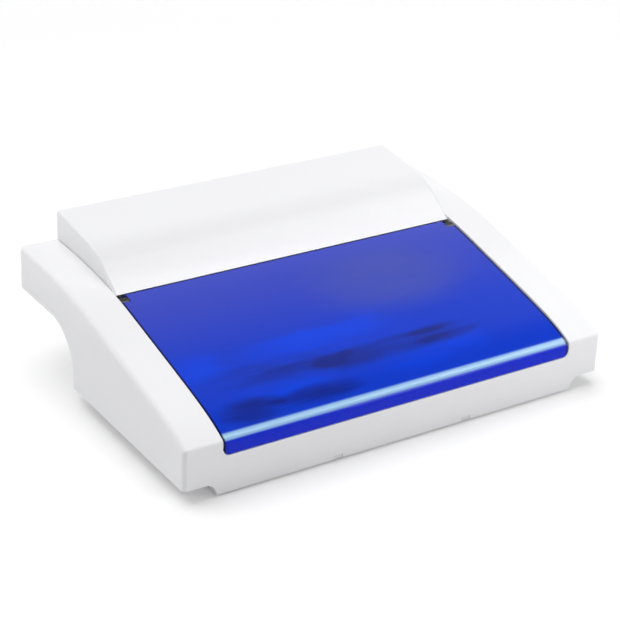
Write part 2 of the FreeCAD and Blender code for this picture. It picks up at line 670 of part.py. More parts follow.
def hood():
    """White hood over the lamp, standing between the wings on the rear wall."""
    path = [(HOOD_FRONT, HOOD_FRONT_HEIGHT), (HOOD_KNEE_DEPTH, HOOD_KNEE_HEIGHT), (BODY_DEPTH, HOOD_HEIGHT)]
    path.append((BODY_DEPTH, HOOD_JOINT))
    side_low = HOOD_FRONT_HEIGHT - HOOD_SIDE_REACH
    side_rear = BODY_DEPTH - WALL - FIT_GAP
    low = [(side_rear, HOOD_JOINT), (side_rear, side_low), (HOOD_FRONT + HOOD_SIDE_REACH, side_low)]
    outside = hood_solid(path, (HOOD_KNEE_RADIUS, HOOD_REAR_ROUND), (-HOOD_HALF, HOOD_HALF), low)
    side_edges = edges_on_sides(outside, HOOD_HALF, HOOD_JOINT)
    top_edges = [edge for edge in side_edges if edge.BoundBox.ZMax > HOOD_FRONT_HEIGHT + HOOD_SIDE_REACH]
    top_edges = [edge for edge in top_edges if edge.BoundBox.ZMin >= HOOD_FRONT_HEIGHT - PRESS_GAP]
    outside = outside.makeFillet(HOOD_EDGE_ROUND, top_edges)
    inner_path = shifted_path(path, HOOD_WALL)
    below = side_low - OVERRUN
    inner_low = [(inner_path[-1][0], below), (inner_path[0][0], below)]
    rounds = (HOOD_KNEE_RADIUS - HOOD_WALL, HOOD_REAR_ROUND - HOOD_WALL)
    inner_x = (HOOD_WALL - HOOD_HALF, HOOD_HALF - HOOD_WALL)
    cover = outside.cut(hood_solid(inner_path, rounds, inner_x, inner_low))
    bosses = []
    holes = []
    for x, depth in POST_PLACES:
        bosses.append(rod_up(x, depth, HOOD_BOSS_RADIUS, (PARTITION_TOP, HOOD_JOINT)))
        bosses.append(rod_up(x, depth, HOOD_BOSS_RADIUS, (HOOD_JOINT, HOOD_HEIGHT)).common(outside))
        holes.append(rod_up(x, depth, SCREW_RADIUS + PRESS_GAP, (PARTITION_TOP, PARTITION_TOP + 2 * SCREW_BITE)))
    cover = joined(cover, bosses)
    vent_middle = HOOD_HEIGHT - VENT_DROP
    for index in range(VENT_COUNT):
        x = VENT_PITCH * (index - (VENT_COUNT - 1) / 2)
        rear = (BODY_DEPTH - HOOD_WALL - OVERRUN, BODY_DEPTH + OVERRUN)
        holes.append(block(span(x, VENT_WIDTH), rear, span(vent_middle, VENT_HEIGHT)))
    return cover.cut(holes)


def lid():
    """Curved see-through lid with a turned-down lip, notched at its rear corners for the hinge ears."""
    sheet = under_crown(LID_RECESS, (-LID_HALF, LID_HALF), (LIP_SETBACK, LID_DEPTH), LIP_BOTTOM)
    inside_front = LIP_SETBACK + LID_THICKNESS
    inside_x = (-LID_HALF - OVERRUN, LID_HALF + OVERRUN)
    inside_depth = (inside_front, LID_DEPTH + OVERRUN)
    sheet = sheet.cut(under_crown(LID_UNDER_DROP, inside_x, inside_depth, LIP_BOTTOM - OVERRUN))
    bend = edges_along_x(sheet, LIP_SETBACK, crown_height(LIP_SETBACK) - LID_RECESS)
    sheet = sheet.makeFillet(BEND_RADIUS, bend)
    inner_bend = edges_along_x(sheet, inside_front, crown_height(inside_front) - LID_UNDER_DROP)
    sheet = sheet.makeFillet(BEND_RADIUS - LID_THICKNESS, inner_bend)
    notch_depth = (LID_DEPTH - EAR_DEPTH - EAR_GAP, LID_DEPTH + OVERRUN)
    notch = block((EAR_INNER - EAR_GAP, LID_HALF + OVERRUN), notch_depth, (0, HOOD_HEIGHT))
    corner_x = LID_HALF - LIP_CORNER
    corner_height = LIP_BOTTOM + LIP_CORNER
    corner_depth = (0, inside_front + OVERRUN)
    corner = block((corner_x, LID_HALF + OVERRUN), corner_depth, (LIP_BOTTOM - OVERRUN, corner_height))
    corner = corner.cut(rod_back(corner_x, corner_height, LIP_CORNER, corner_depth))
    return sheet.cut(pair(notch) + pair(corner))


def hinge_ear():
    """Right-hand black hinge ear: fills the lid's notch, turns on the pin and is glued under the lid."""
    x = (EAR_INNER, LID_HALF)
    barrel = rod_across(HINGE_DEPTH, HINGE_HEIGHT, EAR_RADIUS, x)
    cheek = under_crown(LID_RECESS, x, (LID_DEPTH - EAR_DEPTH, LID_DEPTH), HINGE_HEIGHT)
    tab_x = (EAR_INNER - EAR_TAB_WIDTH, LID_HALF)
    tab_depth = (LID_DEPTH - EAR_DEPTH - EAR_TAB_DEPTH, HINGE_DEPTH)
    tab = crown_strip(LID_UNDER_DROP, LID_UNDER_DROP + EAR_TAB_THICKNESS, tab_x, tab_depth)
    bore_x = (tab_x[0] - OVERRUN, LID_HALF + OVERRUN)
    bore = rod_across(HINGE_DEPTH, HINGE_HEIGHT, HINGE_PIN_RADIUS + RUN_GAP, bore_x)
    return joined(barrel, [cheek, tab]).cut(bore)


def hinge_pin():
    """Right-hand steel hinge pin, pressed into the body's boss."""
    x = (EAR_INNER, HALF_OPENING + HINGE_PIN_GRIP)
    return rod_across(HINGE_DEPTH, HINGE_HEIGHT, HINGE_PIN_RADIUS, x)


def base_cover():
    """Bottom cover with two snap tabs, screw seats and foot holes."""
    half = HALF_BASE - WALL - FIT_GAP
    plate = block((-half, half), (WALL + FIT_GAP, BASE_DEPTH - WALL - FIT_GAP), (BODY_BOTTOM, COVER_TOP))
    tab_depth = (TAB_SETBACK, WALL + FIT_GAP)
    tab = block(span(TAB_SPACING / 2, TAB_WIDTH), tab_depth, (BODY_BOTTOM, BODY_BOTTOM + TAB_HEIGHT))
    tab_root_depth = (tab_depth[0], tab_depth[1] + TAB_HEIGHT / 2)
    tab_root = block(span(TAB_SPACING / 2, TAB_WIDTH), tab_root_depth, (BODY_BOTTOM, COVER_TOP))
    plate = joined(plate, pair(tab) + pair(tab_root))
    holes = []
    for x, depth in BASE_BOSS_PLACES:
        holes.append(rod_up(x, depth, SCREW_HOLE, (0, COVER_TOP + OVERRUN)))
        seat = BODY_BOTTOM + SCREW_HEAD_HEIGHT
        holes.append(rod_up(x, depth, SCREW_HEAD_RADIUS + SCREW_HOLE_GAP, (0, seat)))
    for x, depth in foot_places().values():
        holes.append(rod_up(x, depth, FOOT_STEM_RADIUS + PRESS_GAP, (0, COVER_TOP + OVERRUN)))
    return plate.cut(holes)


def foot_places():
    """Place of each foot, by node name."""
    x = HALF_BASE - FOOT_SIDE_INSET
    return {
        "foot_front_left": (-x, FOOT_FRONT_DEPTH),
        "foot_front_right": (x, FOOT_FRONT_DEPTH),
        "foot_rear_left": (-x, FOOT_REAR_DEPTH),
        "foot_rear_right": (x, FOOT_REAR_DEPTH),
    }


def foot(x, depth):
    """Rubber foot with a stem pushed into the base cover."""
    pad = rod_up(x, depth, FOOT_RADIUS, (0, FOOT_STAND))
    return joined(pad, [rod_up(x, depth, FOOT_STEM_RADIUS, (FOOT_STAND, COVER_TOP))])


def chamber_tub():
    """White chamber with a ledge under the lid's sides and a shelf for the lamp."""
    outer_x = (-TUB_HALF, TUB_HALF)
    inner_x = (TUB_WALL - TUB_HALF, TUB_HALF - TUB_WALL)
    tub = under_crown(LEDGE_DROP, outer_x, (TUB_FRONT, SHELF_REAR), COVER_TOP)
    tub = tub.cut(block(outer_x, (TUB_REAR, SHELF_REAR), (COVER_TOP, SHELF_BOTTOM)))
    tub = tub.cut(block(inner_x, (TUB_FRONT + TUB_WALL, TUB_REAR - TUB_WALL), (TUB_FLOOR, HOOD_HEIGHT)))
    tub = tub.cut(block(inner_x, (TUB_REAR - 2 * TUB_WALL, SHELF_REAR), (SHELF_TOP, HOOD_HEIGHT)))
    ledge_x = (TUB_HALF - TUB_WALL, HALF_OPENING - FIT_GAP)
    ledge_depth = (TUB_FRONT, HINGE_DEPTH - EAR_SWEEP)
    ledge = crown_strip(LEDGE_DROP, LEDGE_DROP + TUB_WALL, ledge_x, ledge_depth)
    tub = joined(tub, pair(ledge))
    notch_x = (TUB_HALF - 2 * TUB_WALL, HALF_OPENING + OVERRUN)
    notch_front = LID_DEPTH - EAR_DEPTH - EAR_TAB_DEPTH - EAR_SWEEP_ROOM
    notch_depth = (notch_front, HINGE_DEPTH + EAR_SWEEP)
    notch = block(notch_x, notch_depth, (HINGE_HEIGHT - EAR_SWEEP, HOOD_HEIGHT))
    holes = pair(notch)
    plunger_radius = PLUNGER_RADIUS + FIT_GAP
    holes.append(rod_up(interlock_x(), INTERLOCK_DEPTH, plunger_radius, (0, HOOD_HEIGHT)))
    for depth, height in interlock_screw_places():
        holes.append(rod_across(depth, height, INTERLOCK_SCREW_RADIUS + PRESS_GAP, (inner_x[1], TUB_HALF)))
    lead_depth, lead_height = lamp_lead_place()
    holes += pair(rod_across(lead_depth, lead_height, LEAD_RADIUS + FIT_GAP, (inner_x[1], TUB_HALF)))
    screw_x = HOLDER_FACE + HOLDER_THICKNESS / 2
    for side in (-1, 1):
        for depth in span(LAMP_DEPTH, HOLDER_SCREW_SPACING):
            radius = HOLDER_SCREW_RADIUS + PRESS_GAP
            holes.append(rod_up(screw_x * side, depth, radius, (SHELF_BOTTOM, SHELF_TOP)))
    return tub.cut(holes)


def floor_sheet():
    """Polished aluminium sheet on the chamber floor."""
    half = TUB_HALF - TUB_WALL - FLOOR_SHEET_GAP
    front = TUB_FRONT + TUB_WALL + FLOOR_SHEET_GAP
    rear = TUB_REAR - TUB_WALL - FLOOR_SHEET_GAP
    return block((-half, half), (front, rear), (TUB_FLOOR, FLOOR_SHEET_TOP))


def lid_bumpers():
    """Two thin rubber pads on the ledges that the closed lid comes down on."""
    x = HALF_OPENING - TUB_LEDGE / 2
    post = rod_up(x, BUMPER_DEPTH, BUMPER_RADIUS, (0, HOOD_HEIGHT))
    strip_x = span(x, 2 * BUMPER_RADIUS + FIT_GAP)
    strip_depth = span(BUMPER_DEPTH, 2 * BUMPER_RADIUS + FIT_GAP)
    pad = crown_strip(LID_UNDER_DROP + FIT_GAP, LEDGE_DROP, strip_x, strip_depth).common(post)
    return Part.makeCompound(pair(pad.Solids[0]))


def tool_tray():
    """Lift-out tray with a slotted floor, an outward rim and four legs."""
    half = TUB_HALF - TUB_WALL - TRAY_GAP
    depth = (TUB_FRONT + TUB_WALL + TRAY_GAP, TUB_REAR - TUB_WALL - TRAY_GAP)
    floor = FLOOR_SHEET_TOP + TRAY_LEG_HEIGHT
    top = floor + TRAY_HEIGHT

    def rounded(inset, height):
        x = (inset - half, half - inset)
        solid = block(x, (depth[0] + inset, depth[1] - inset), height)
        tall = [edge for edge in solid.Edges if edge.BoundBox.ZLength > height[1] - height[0] - PRESS_GAP]
        return solid.makeFillet(TRAY_CORNER_RADIUS - inset, tall)

    rim = rounded(-TRAY_RIM, (top - TRAY_WALL, top))
    tray = joined(rounded(0, (floor, top)), [rim])
    tray = tray.cut(rounded(TRAY_WALL, (floor + TRAY_WALL, top + OVERRUN)))
    middle = (depth[0] + depth[1]) / 2
    rows = int((depth[1] - depth[0] - 2 * TRAY_SLOT_END_INSET) / TRAY_SLOT_PITCH)
    slot_start = (TRAY_SLOT_BRIDGE + TRAY_SLOT_WIDTH) / 2
    slot_end = half - TRAY_SLOT_SIDE_INSET - TRAY_SLOT_WIDTH / 2
    slots = []
    for row in range(rows):
        place = middle + TRAY_SLOT_PITCH * (row - (rows - 1) / 2)
        for side in (-1, 1):
            x = sorted((slot_start * side, slot_end * side))
            slot_height = (floor - OVERRUN, floor + TRAY_WALL + OVERRUN / 2)
            slots.append(block(x, span(place, TRAY_SLOT_WIDTH), slot_height))
            slots += [rod_up(end, place, TRAY_SLOT_WIDTH / 2, slot_height) for end in x]
    tray = tray.cut(slots)
    legs = []
    for side in (-1, 1):
        for place in (depth[0] + TRAY_LEG_INSET, depth[1] - TRAY_LEG_INSET):
            x = (half - TRAY_LEG_INSET) * side
            legs.append(rod_up(x, place, TRAY_LEG_RADIUS, (FLOOR_SHEET_TOP, floor)))
    return joined(tray, legs)


def lamp_pin_offsets():
    """Heights of the two pins of one lamp end, from the lamp's axis."""
    return span(0, PIN_SPACING)


def uv_tube():
    """Quartz tube of the germicidal lamp."""
    half = TUBE_LENGTH / 2
    return rod_across(LAMP_DEPTH, LAMP_HEIGHT, TUBE_RADIUS, (-half, half))


def lamp_caps():
    """Metal caps on the two ends of the lamp."""
    cap = rod_across(LAMP_DEPTH, LAMP_HEIGHT, CAP_RADIUS, (TUBE_LENGTH / 2, CAP_END))
    return Part.makeCompound(pair(cap))


def lamp_pins():
    """Two contact pins on each lamp end."""
    pins = []
    for offset in lamp_pin_offsets():
        pins += pair(rod_across(LAMP_DEPTH, LAMP_HEIGHT + offset, PIN_RADIUS, (CAP_END, CAP_END + PIN_LENGTH)))
    return Part.makeCompound(pins)


def lamp_rotors():
    """Turning inserts of the lampholders, gripped by the lamp's pins."""
    disc = rod_across(LAMP_DEPTH, LAMP_HEIGHT, ROTOR_RADIUS, (HOLDER_FACE, HOLDER_FACE + ROTOR_LENGTH))
    holes = []
    for offset in lamp_pin_offsets():
        end = CAP_END + PIN_LENGTH + FIT_GAP
        holes.append(rod_across(LAMP_DEPTH, LAMP_HEIGHT + offset, PIN_RADIUS + PRESS_GAP, (CAP_END, end)))
    return Part.makeCompound(pair(disc.cut(holes)))


def lampholder():
    """Right-hand lampholder standing on the shelf, with a round seat for its rotor and an entry slot."""
    x = (HOLDER_FACE, HOLDER_FACE + HOLDER_THICKNESS)
    top = LAMP_HEIGHT + HOLDER_RISE
    holder = block(x, span(LAMP_DEPTH, HOLDER_DEPTH), (SHELF_TOP, LAMP_HEIGHT))
    dome = rod_across(LAMP_DEPTH, LAMP_HEIGHT, HOLDER_DEPTH / 2, x)
    holder = joined(holder, [dome.common(block(x, span(LAMP_DEPTH, HOLDER_DEPTH), (SHELF_TOP, top)))])
    seat_end = HOLDER_FACE + ROTOR_LENGTH + FIT_GAP
    seat = rod_across(LAMP_DEPTH, LAMP_HEIGHT, ROTOR_RADIUS + RUN_GAP, (HOLDER_FACE, seat_end))
    slot_x = (HOLDER_FACE, CAP_END + PIN_LENGTH)
    slot_width = 2 * PIN_RADIUS + FIT_GAP
    slot = block(slot_x, (LAMP_DEPTH - HOLDER_DEPTH, LAMP_DEPTH), span(LAMP_HEIGHT, slot_width))
    holes = [seat, slot]
    for depth in span(LAMP_DEPTH, HOLDER_SCREW_SPACING):
        screw_x = (x[0] + x[1]) / 2
        screw_top = SHELF_BOTTOM + HOLDER_SCREW_LENGTH + FIT_GAP
        holes.append(rod_up(screw_x, depth, HOLDER_SCREW_RADIUS + PRESS_GAP, (SHELF_TOP, screw_top)))
    return holder.cut(holes)


def holder_screws():
    """Screws up through the shelf into the lampholders."""
    screws = []
    for depth in span(LAMP_DEPTH, HOLDER_SCREW_SPACING):
        seat = spot(depth, SHELF_BOTTOM, HOLDER_FACE + HOLDER_THICKNESS / 2)
        head_height = HOLDER_SCREW_RADIUS
        up = FreeCAD.Vector(0, 0, 1)
        one = screw(seat, up, HOLDER_SCREW_LENGTH, HOLDER_SCREW_RADIUS, 2 * HOLDER_SCREW_RADIUS, head_height)
        screws += pair(one)
    return Part.makeCompound(screws)


def lamp_reflector():
    """Bent aluminium sheet behind and over the lamp, fixed to the partition."""
    half = CAP_END - REFLECTOR_END_GAP
    path = [
        (PARTITION_FACE, SHELF_TOP + FIT_GAP),
        (PARTITION_FACE, LAMP_HEIGHT + REFLECTOR_KNEE_RISE),
        (LAMP_DEPTH + REFLECTOR_TOP_BACK, LAMP_HEIGHT + REFLECTOR_TOP_RISE),
        (LAMP_DEPTH - REFLECTOR_EDGE_FRONT, LAMP_HEIGHT + REFLECTOR_EDGE_RISE),
    ]
    inner = shifted_path(path, -REFLECTOR_THICKNESS)
    outline = [spot(depth, height) for depth, height in path + inner[::-1]]
    return across(closed_lines(outline), (-half, half))


def lamp_guard():
    """Welded wire guard in front of the lamp, standing on the shelf."""

    def round_lamp(degrees, radius, x=0.0):
        angle = math.radians(degrees)
        return spot(LAMP_DEPTH + radius * math.cos(angle), LAMP_HEIGHT + radius * math.sin(angle), x)

    wires = []
    for degrees in GUARD_ROD_DEGREES:
        start, end = [round_lamp(degrees, GUARD_RADIUS - GUARD_ROD_INSET, x) for x in (-GUARD_HALF, GUARD_HALF)]
        wires.append(rod(start, end, GUARD_WIRE_RADIUS))
    upright = FreeCAD.Vector(0, 0, 1)
    sweep = GUARD_END_DEGREES - GUARD_START_DEGREES
    hoop = Part.makeTorus(GUARD_RADIUS, GUARD_WIRE_RADIUS, FreeCAD.Vector(0, 0, 0), upright, 0, 360, sweep)
    hoop.rotate(FreeCAD.Vector(0, 0, 0), FreeCAD.Vector(1, 1, 1), 120)
    hoop.rotate(FreeCAD.Vector(0, 0, 0), FreeCAD.Vector(1, 0, 0), GUARD_START_DEGREES)
    hoop_reach = GUARD_HALF - GUARD_HOOP_INSET
    for index in range(GUARD_HOOPS):
        x = hoop_reach * (2 * index / (GUARD_HOOPS - 1) - 1)
        wires.append(hoop.translated(spot(LAMP_DEPTH, LAMP_HEIGHT, x)))
        foot_top = LAMP_HEIGHT - GUARD_RADIUS
        wires.append(rod_up(x, LAMP_DEPTH, GUARD_WIRE_RADIUS, (SHELF_TOP, foot_top)))
    return joined(wires[0], wires[1:])


def rear_partition():
    """Plate on the rear posts with an upright that closes the lamp space from the wiring."""
    half = HOOD_HALF - HOOD_WALL - PARTITION_SIDE_GAP
    floor_depth = (PARTITION_FACE, PARTITION_REAR)
    plate = block((-half, half), floor_depth, (SHELF_BOTTOM, PARTITION_TOP))
    upright_depth = (PARTITION_FACE, PARTITION_FACE + PARTITION_THICKNESS)
    upright = block((-half, half), upright_depth, (SHELF_BOTTOM, PARTITION_TOP + PARTITION_RISE))
    hole_height = (SHELF_BOTTOM - OVERRUN, PARTITION_TOP + OVERRUN)
    holes = [rod_up(x, depth, SCREW_HOLE, hole_height) for x, depth in POST_PLACES]
    return joined(plate, [upright]).cut(holes)


def hood_screws():
    """Long screws up through the overhang and the partition into the hood's bosses."""
    length = PARTITION_TOP + SCREW_BITE - OVERHANG_HEIGHT - SCREW_HEAD_HEIGHT
    up = FreeCAD.Vector(0, 0, 1)
    screws = []
    for x, depth in POST_PLACES:
        seat = spot(depth, OVERHANG_HEIGHT + SCREW_HEAD_HEIGHT, x)
        screws.append(screw(seat, up, length, SCREW_RADIUS, SCREW_HEAD_RADIUS, SCREW_HEAD_HEIGHT))
    return Part.makeCompound(screws)


def base_screws():
    """Screws up through the base cover into the body's bosses."""
    length = COVER_TOP + SCREW_BITE - BODY_BOTTOM - SCREW_HEAD_HEIGHT
    up = FreeCAD.Vector(0, 0, 1)
    screws = []
    for x, depth in BASE_BOSS_PLACES:
        seat = spot(depth, BODY_BOTTOM + SCREW_HEAD_HEIGHT, x)
        screws.append(screw(seat, up, length, SCREW_RADIUS, SCREW_HEAD_RADIUS, SCREW_HEAD_HEIGHT))
    return Part.makeCompound(screws)


def rocker_pivot():
    """Depth of the rocker's axis, just outside the pocket's wall."""
    return POCKET_FACE - SWITCH_FLANGE_THICKNESS


def switch_body():
    """Black switch housing with a well for the rocker and a flange in the rear pocket."""
    inner = POCKET_FACE - SWITCH_LENGTH
    outer = POCKET_FACE + SWITCH_FLANGE_THICKNESS
    x = span(SWITCH_X, SWITCH_WIDTH)
    body = block(x, (inner, outer), span(POCKET_HEIGHT_MIDDLE, SWITCH_HEIGHT))
    flange_x = span(SWITCH_X, SWITCH_WIDTH + 2 * SWITCH_FLANGE)
    flange = block(flange_x, (POCKET_FACE, outer), span(POCKET_HEIGHT_MIDDLE, SWITCH_HEIGHT + 2 * SWITCH_FLANGE))
    well_x = span(SWITCH_X, SWITCH_WIDTH - 2 * SWITCH_CHEEK)
    well_height = span(POCKET_HEIGHT_MIDDLE, SWITCH_HEIGHT - SWITCH_CHEEK)
    well = block(well_x, (rocker_pivot() - ROCKER_WELL, outer + OVERRUN), well_height)
    pivot_x = span(SWITCH_X, SWITCH_WIDTH - 2 * SWITCH_CHEEK + 2 * ROCKER_PIN_LENGTH)
    pivot = rod_across(rocker_pivot(), POCKET_HEIGHT_MIDDLE, ROCKER_PIN_RADIUS + RUN_GAP, pivot_x)
    return joined(body, [flange]).cut([well, pivot])


def switch_rocker():
    """Rocker with two slanting faces, resting with its upper end pressed in."""
    pivot = spot(rocker_pivot(), POCKET_HEIGHT_MIDDLE)
    half = ROCKER_HEIGHT / 2
    low = -ROCKER_BELLY
    outline = [(-half, low), (-half, ROCKER_RISE), (0, ROCKER_DIP), (half, ROCKER_RISE), (half, low)]
    points = [pivot + FreeCAD.Vector(0, out, up) for up, out in outline]
    x = span(SWITCH_X, SWITCH_WIDTH - 2 * SWITCH_CHEEK - 2 * FIT_GAP)
    paddle = across(closed_lines(points), x)
    pin_x = span(SWITCH_X, SWITCH_WIDTH - 2 * SWITCH_CHEEK + 2 * ROCKER_PIN_LENGTH - FIT_GAP)
    rocker = joined(paddle, [rod_across(rocker_pivot(), POCKET_HEIGHT_MIDDLE, ROCKER_PIN_RADIUS, pin_x)])
    rocker.rotate(pivot, FreeCAD.Vector(1, 0, 0), ROCKER_DEGREES)
    return rocker


def switch_blades():
    """Two terminal blades on the switch's inner end."""
    rear = POCKET_FACE - SWITCH_LENGTH
    blades = []
    for height in span(POCKET_HEIGHT_MIDDLE, SWITCH_BLADE_PITCH):
        x = span(SWITCH_X, SWITCH_BLADE_WIDTH)
        blades.append(block(x, (rear - SWITCH_BLADE_LENGTH, rear), span(height, SWITCH_BLADE_THICKNESS)))
    return Part.makeCompound(blades)


def cord_gland():
    """Black bushing through the rear pocket's wall, with a bore for the mains lead."""
    flange_depth = (POCKET_FACE, POCKET_FACE + GLAND_FLANGE_THICKNESS)
    flange = rod_back(GLAND_X, POCKET_HEIGHT_MIDDLE, GLAND_FLANGE_RADIUS, flange_depth)
    barrel_depth = (POCKET_BACK - GLAND_TAIL, POCKET_FACE)
    barrel = rod_back(GLAND_X, POCKET_HEIGHT_MIDDLE, GLAND_RADIUS, barrel_depth)
    bore_depth = (barrel_depth[0] - OVERRUN, flange_depth[1] + OVERRUN)
    bore = rod_back(GLAND_X, POCKET_HEIGHT_MIDDLE, GLAND_BORE_RADIUS, bore_depth)
    return joined(barrel, [flange]).cut(bore)


def gland_nut():
    """Six-sided nut that holds the gland from inside."""
    front = POCKET_BACK - GLAND_NUT_THICKNESS
    points = []
    for index in range(NUT_SIDES):
        angle = 2 * math.pi * index / NUT_SIDES
        height = POCKET_HEIGHT_MIDDLE + GLAND_NUT_RADIUS * math.sin(angle)
        points.append(spot(front, height, GLAND_X + GLAND_NUT_RADIUS * math.cos(angle)))
    nut = prism(closed_lines(points), FreeCAD.Vector(0, 0, 0), FreeCAD.Vector(0, GLAND_NUT_THICKNESS, 0))
    hole_depth = (front - OVERRUN, POCKET_BACK + OVERRUN)
    return nut.cut(rod_back(GLAND_X, POCKET_HEIGHT_MIDDLE, GLAND_RADIUS + RUN_GAP, hole_depth))


def ballast_core():
    """Laminated steel core with two windows, and an ear at each end."""
    length = span(BALLAST_DEPTH, BALLAST_LENGTH)
    width = span(WING_MIDDLE, BALLAST_WIDTH)
    height = (BALLAST_BOTTOM, BALLAST_BOTTOM + BALLAST_HEIGHT)
    core = block(width, length, height)
    window_length = (BALLAST_LENGTH - 3 * BALLAST_LEG) / 2
    window_height = (height[0] + BALLAST_LEG, height[1] - BALLAST_LEG)
    windows = []
    for side in (-1, 1):
        middle = BALLAST_DEPTH + side * (BALLAST_LEG + window_length) / 2
        wide = (width[0] - OVERRUN, width[1] + OVERRUN)
        windows.append(block(wide, span(middle, window_length), window_height))
    ear_length = span(BALLAST_DEPTH, BALLAST_LENGTH + 2 * BALLAST_EAR_LENGTH)
    ears = block(width, ear_length, (BALLAST_BOTTOM, BALLAST_BOTTOM + BALLAST_EAR_THICKNESS))
    hole_height = (BALLAST_BOTTOM - OVERRUN, BALLAST_BOTTOM + OVERRUN)
    holes = [rod_up(WING_MIDDLE, depth, SCREW_HOLE, hole_height) for depth in BALLAST_SCREW_DEPTHS]
    return joined(core, [ears]).cut(windows + holes)


def ballast_winding():
    """Taped winding round the core's middle leg, filling both windows."""
    length = span(BALLAST_DEPTH, BALLAST_LENGTH - 2 * BALLAST_LEG)
    width = span(WING_MIDDLE, BALLAST_WIDTH + 2 * WINDING_BULGE)
    height = (BALLAST_BOTTOM + BALLAST_LEG, BALLAST_BOTTOM + BALLAST_HEIGHT - BALLAST_LEG)
    return block(width, length, height).cut(ballast_core())


def ballast_screws():
    """Screws down through the ballast's ears into the wing floor's bosses."""
    down = FreeCAD.Vector(0, 0, -1)
    length = BALLAST_EAR_THICKNESS + BALLAST_BOSS_HEIGHT - FIT_GAP
    top = BALLAST_BOTTOM + BALLAST_EAR_THICKNESS
    screws = []
    for depth in BALLAST_SCREW_DEPTHS:
        seat = spot(depth, top, WING_MIDDLE)
        screws.append(screw(seat, down, length, SCREW_RADIUS, SCREW_HEAD_RADIUS, SCREW_HEAD_HEIGHT))
    return Part.makeCompound(screws)


def starter_socket():
    """Socket on the left wing's floor with two wells for the starter's pins."""
    top = WING_FLOOR + SOCKET_HEIGHT
    depth = span(STARTER_DEPTH, SOCKET_WIDTH)
    socket = block(span(-WING_MIDDLE, SOCKET_WIDTH), depth, (WING_FLOOR, top))
    ring_radius = STARTER_PIN_SPACING / 2 + STARTER_PIN_RADIUS + FIT_GAP
    core_radius = STARTER_PIN_SPACING / 2 - STARTER_PIN_RADIUS - FIT_GAP
    well_height = (top - STARTER_PIN_LENGTH - FIT_GAP, top + OVERRUN)
    ring = rod_up(-WING_MIDDLE, STARTER_DEPTH, ring_radius, well_height)
    ring = ring.cut(rod_up(-WING_MIDDLE, STARTER_DEPTH, core_radius, well_height))
    return socket.cut(ring)


def starter():
    """Glow starter: a can with two contact pins that turn in the socket's ring well."""
    bottom = WING_FLOOR + SOCKET_HEIGHT
    can = rod_up(-WING_MIDDLE, STARTER_DEPTH, STARTER_RADIUS, (bottom, bottom + STARTER_LENGTH))
    rims = [edge for edge in can.Edges if edge.BoundBox.ZMin > bottom + STARTER_LENGTH - PRESS_GAP]
    can = can.makeFillet(STARTER_ROUND, rims)
    pins = []
    for depth in span(STARTER_DEPTH, STARTER_PIN_SPACING):
        pins.append(rod_up(-WING_MIDDLE, depth, STARTER_PIN_RADIUS, (bottom - STARTER_PIN_LENGTH, bottom)))
    return joined(can, pins)


def terminal_places():
    """Depths of the terminal block's ways."""
    pitch = TERMINAL_LENGTH / TERMINAL_WAYS
    return [TERMINAL_DEPTH + pitch * (way - (TERMINAL_WAYS - 1) / 2) for way in range(TERMINAL_WAYS)]


def terminal_block():
    """Terminal block on the left wing's floor."""
    top = WING_FLOOR + TERMINAL_HEIGHT
    x = span(-WING_MIDDLE, TERMINAL_WIDTH)
    solid = block(x, span(TERMINAL_DEPTH, TERMINAL_LENGTH), (WING_FLOOR, top))
    well = (top - TERMINAL_SCREW_LENGTH, top + OVERRUN)
    holes = [rod_up(-WING_MIDDLE, depth, TERMINAL_SCREW_RADIUS + RUN_GAP, well) for depth in terminal_places()]
    return solid.cut(holes)


def terminal_screws():
    """Clamp screws sunk in the terminal block."""
    top = WING_FLOOR + TERMINAL_HEIGHT
    height = (top - TERMINAL_SCREW_LENGTH, top - TERMINAL_SCREW_RADIUS)
    screws = [rod_up(-WING_MIDDLE, depth, TERMINAL_SCREW_RADIUS, height) for depth in terminal_places()]
    return Part.makeCompound(screws)


def interlock_x():
    """Middle of the interlock switch, on the tub's right outer wall."""
    return TUB_HALF + INTERLOCK_WIDTH / 2


def interlock_top():
    """Top of the interlock switch, below the sloping ledge."""
    low_end = crown_height(INTERLOCK_DEPTH - INTERLOCK_LENGTH / 2)
    return low_end - LEDGE_DROP - TUB_WALL - FIT_GAP


def interlock_screw_places():
    """Depth and height of the interlock's two screws."""
    height = interlock_top() - INTERLOCK_HEIGHT + INTERLOCK_SCREW_HEAD + FIT_GAP
    return [(depth, height) for depth in span(INTERLOCK_DEPTH, INTERLOCK_SCREW_SPACING)]


def interlock_switch():
    """Small snap switch under the right ledge."""
    top = interlock_top()
    x = (TUB_HALF, TUB_HALF + INTERLOCK_WIDTH)
    body = block(x, span(INTERLOCK_DEPTH, INTERLOCK_LENGTH), (top - INTERLOCK_HEIGHT, top))
    well_height = (top - PLUNGER_REACH - PLUNGER_TIP_GAP, top + OVERRUN)
    holes = [rod_up(interlock_x(), INTERLOCK_DEPTH, PLUNGER_RADIUS + RUN_GAP, well_height)]
    for depth, height in interlock_screw_places():
        holes.append(rod_across(depth, height, INTERLOCK_SCREW_RADIUS + RUN_GAP, x))
    return body.cut(holes)


def interlock_plunger():
    """Plunger that the closed lid holds down, through a hole in the ledge."""
    tip = crown_height(INTERLOCK_DEPTH) - LID_UNDER_DROP - PLUNGER_TIP_GAP
    return rod_up(interlock_x(), INTERLOCK_DEPTH, PLUNGER_RADIUS, (interlock_top() - PLUNGER_REACH, tip))


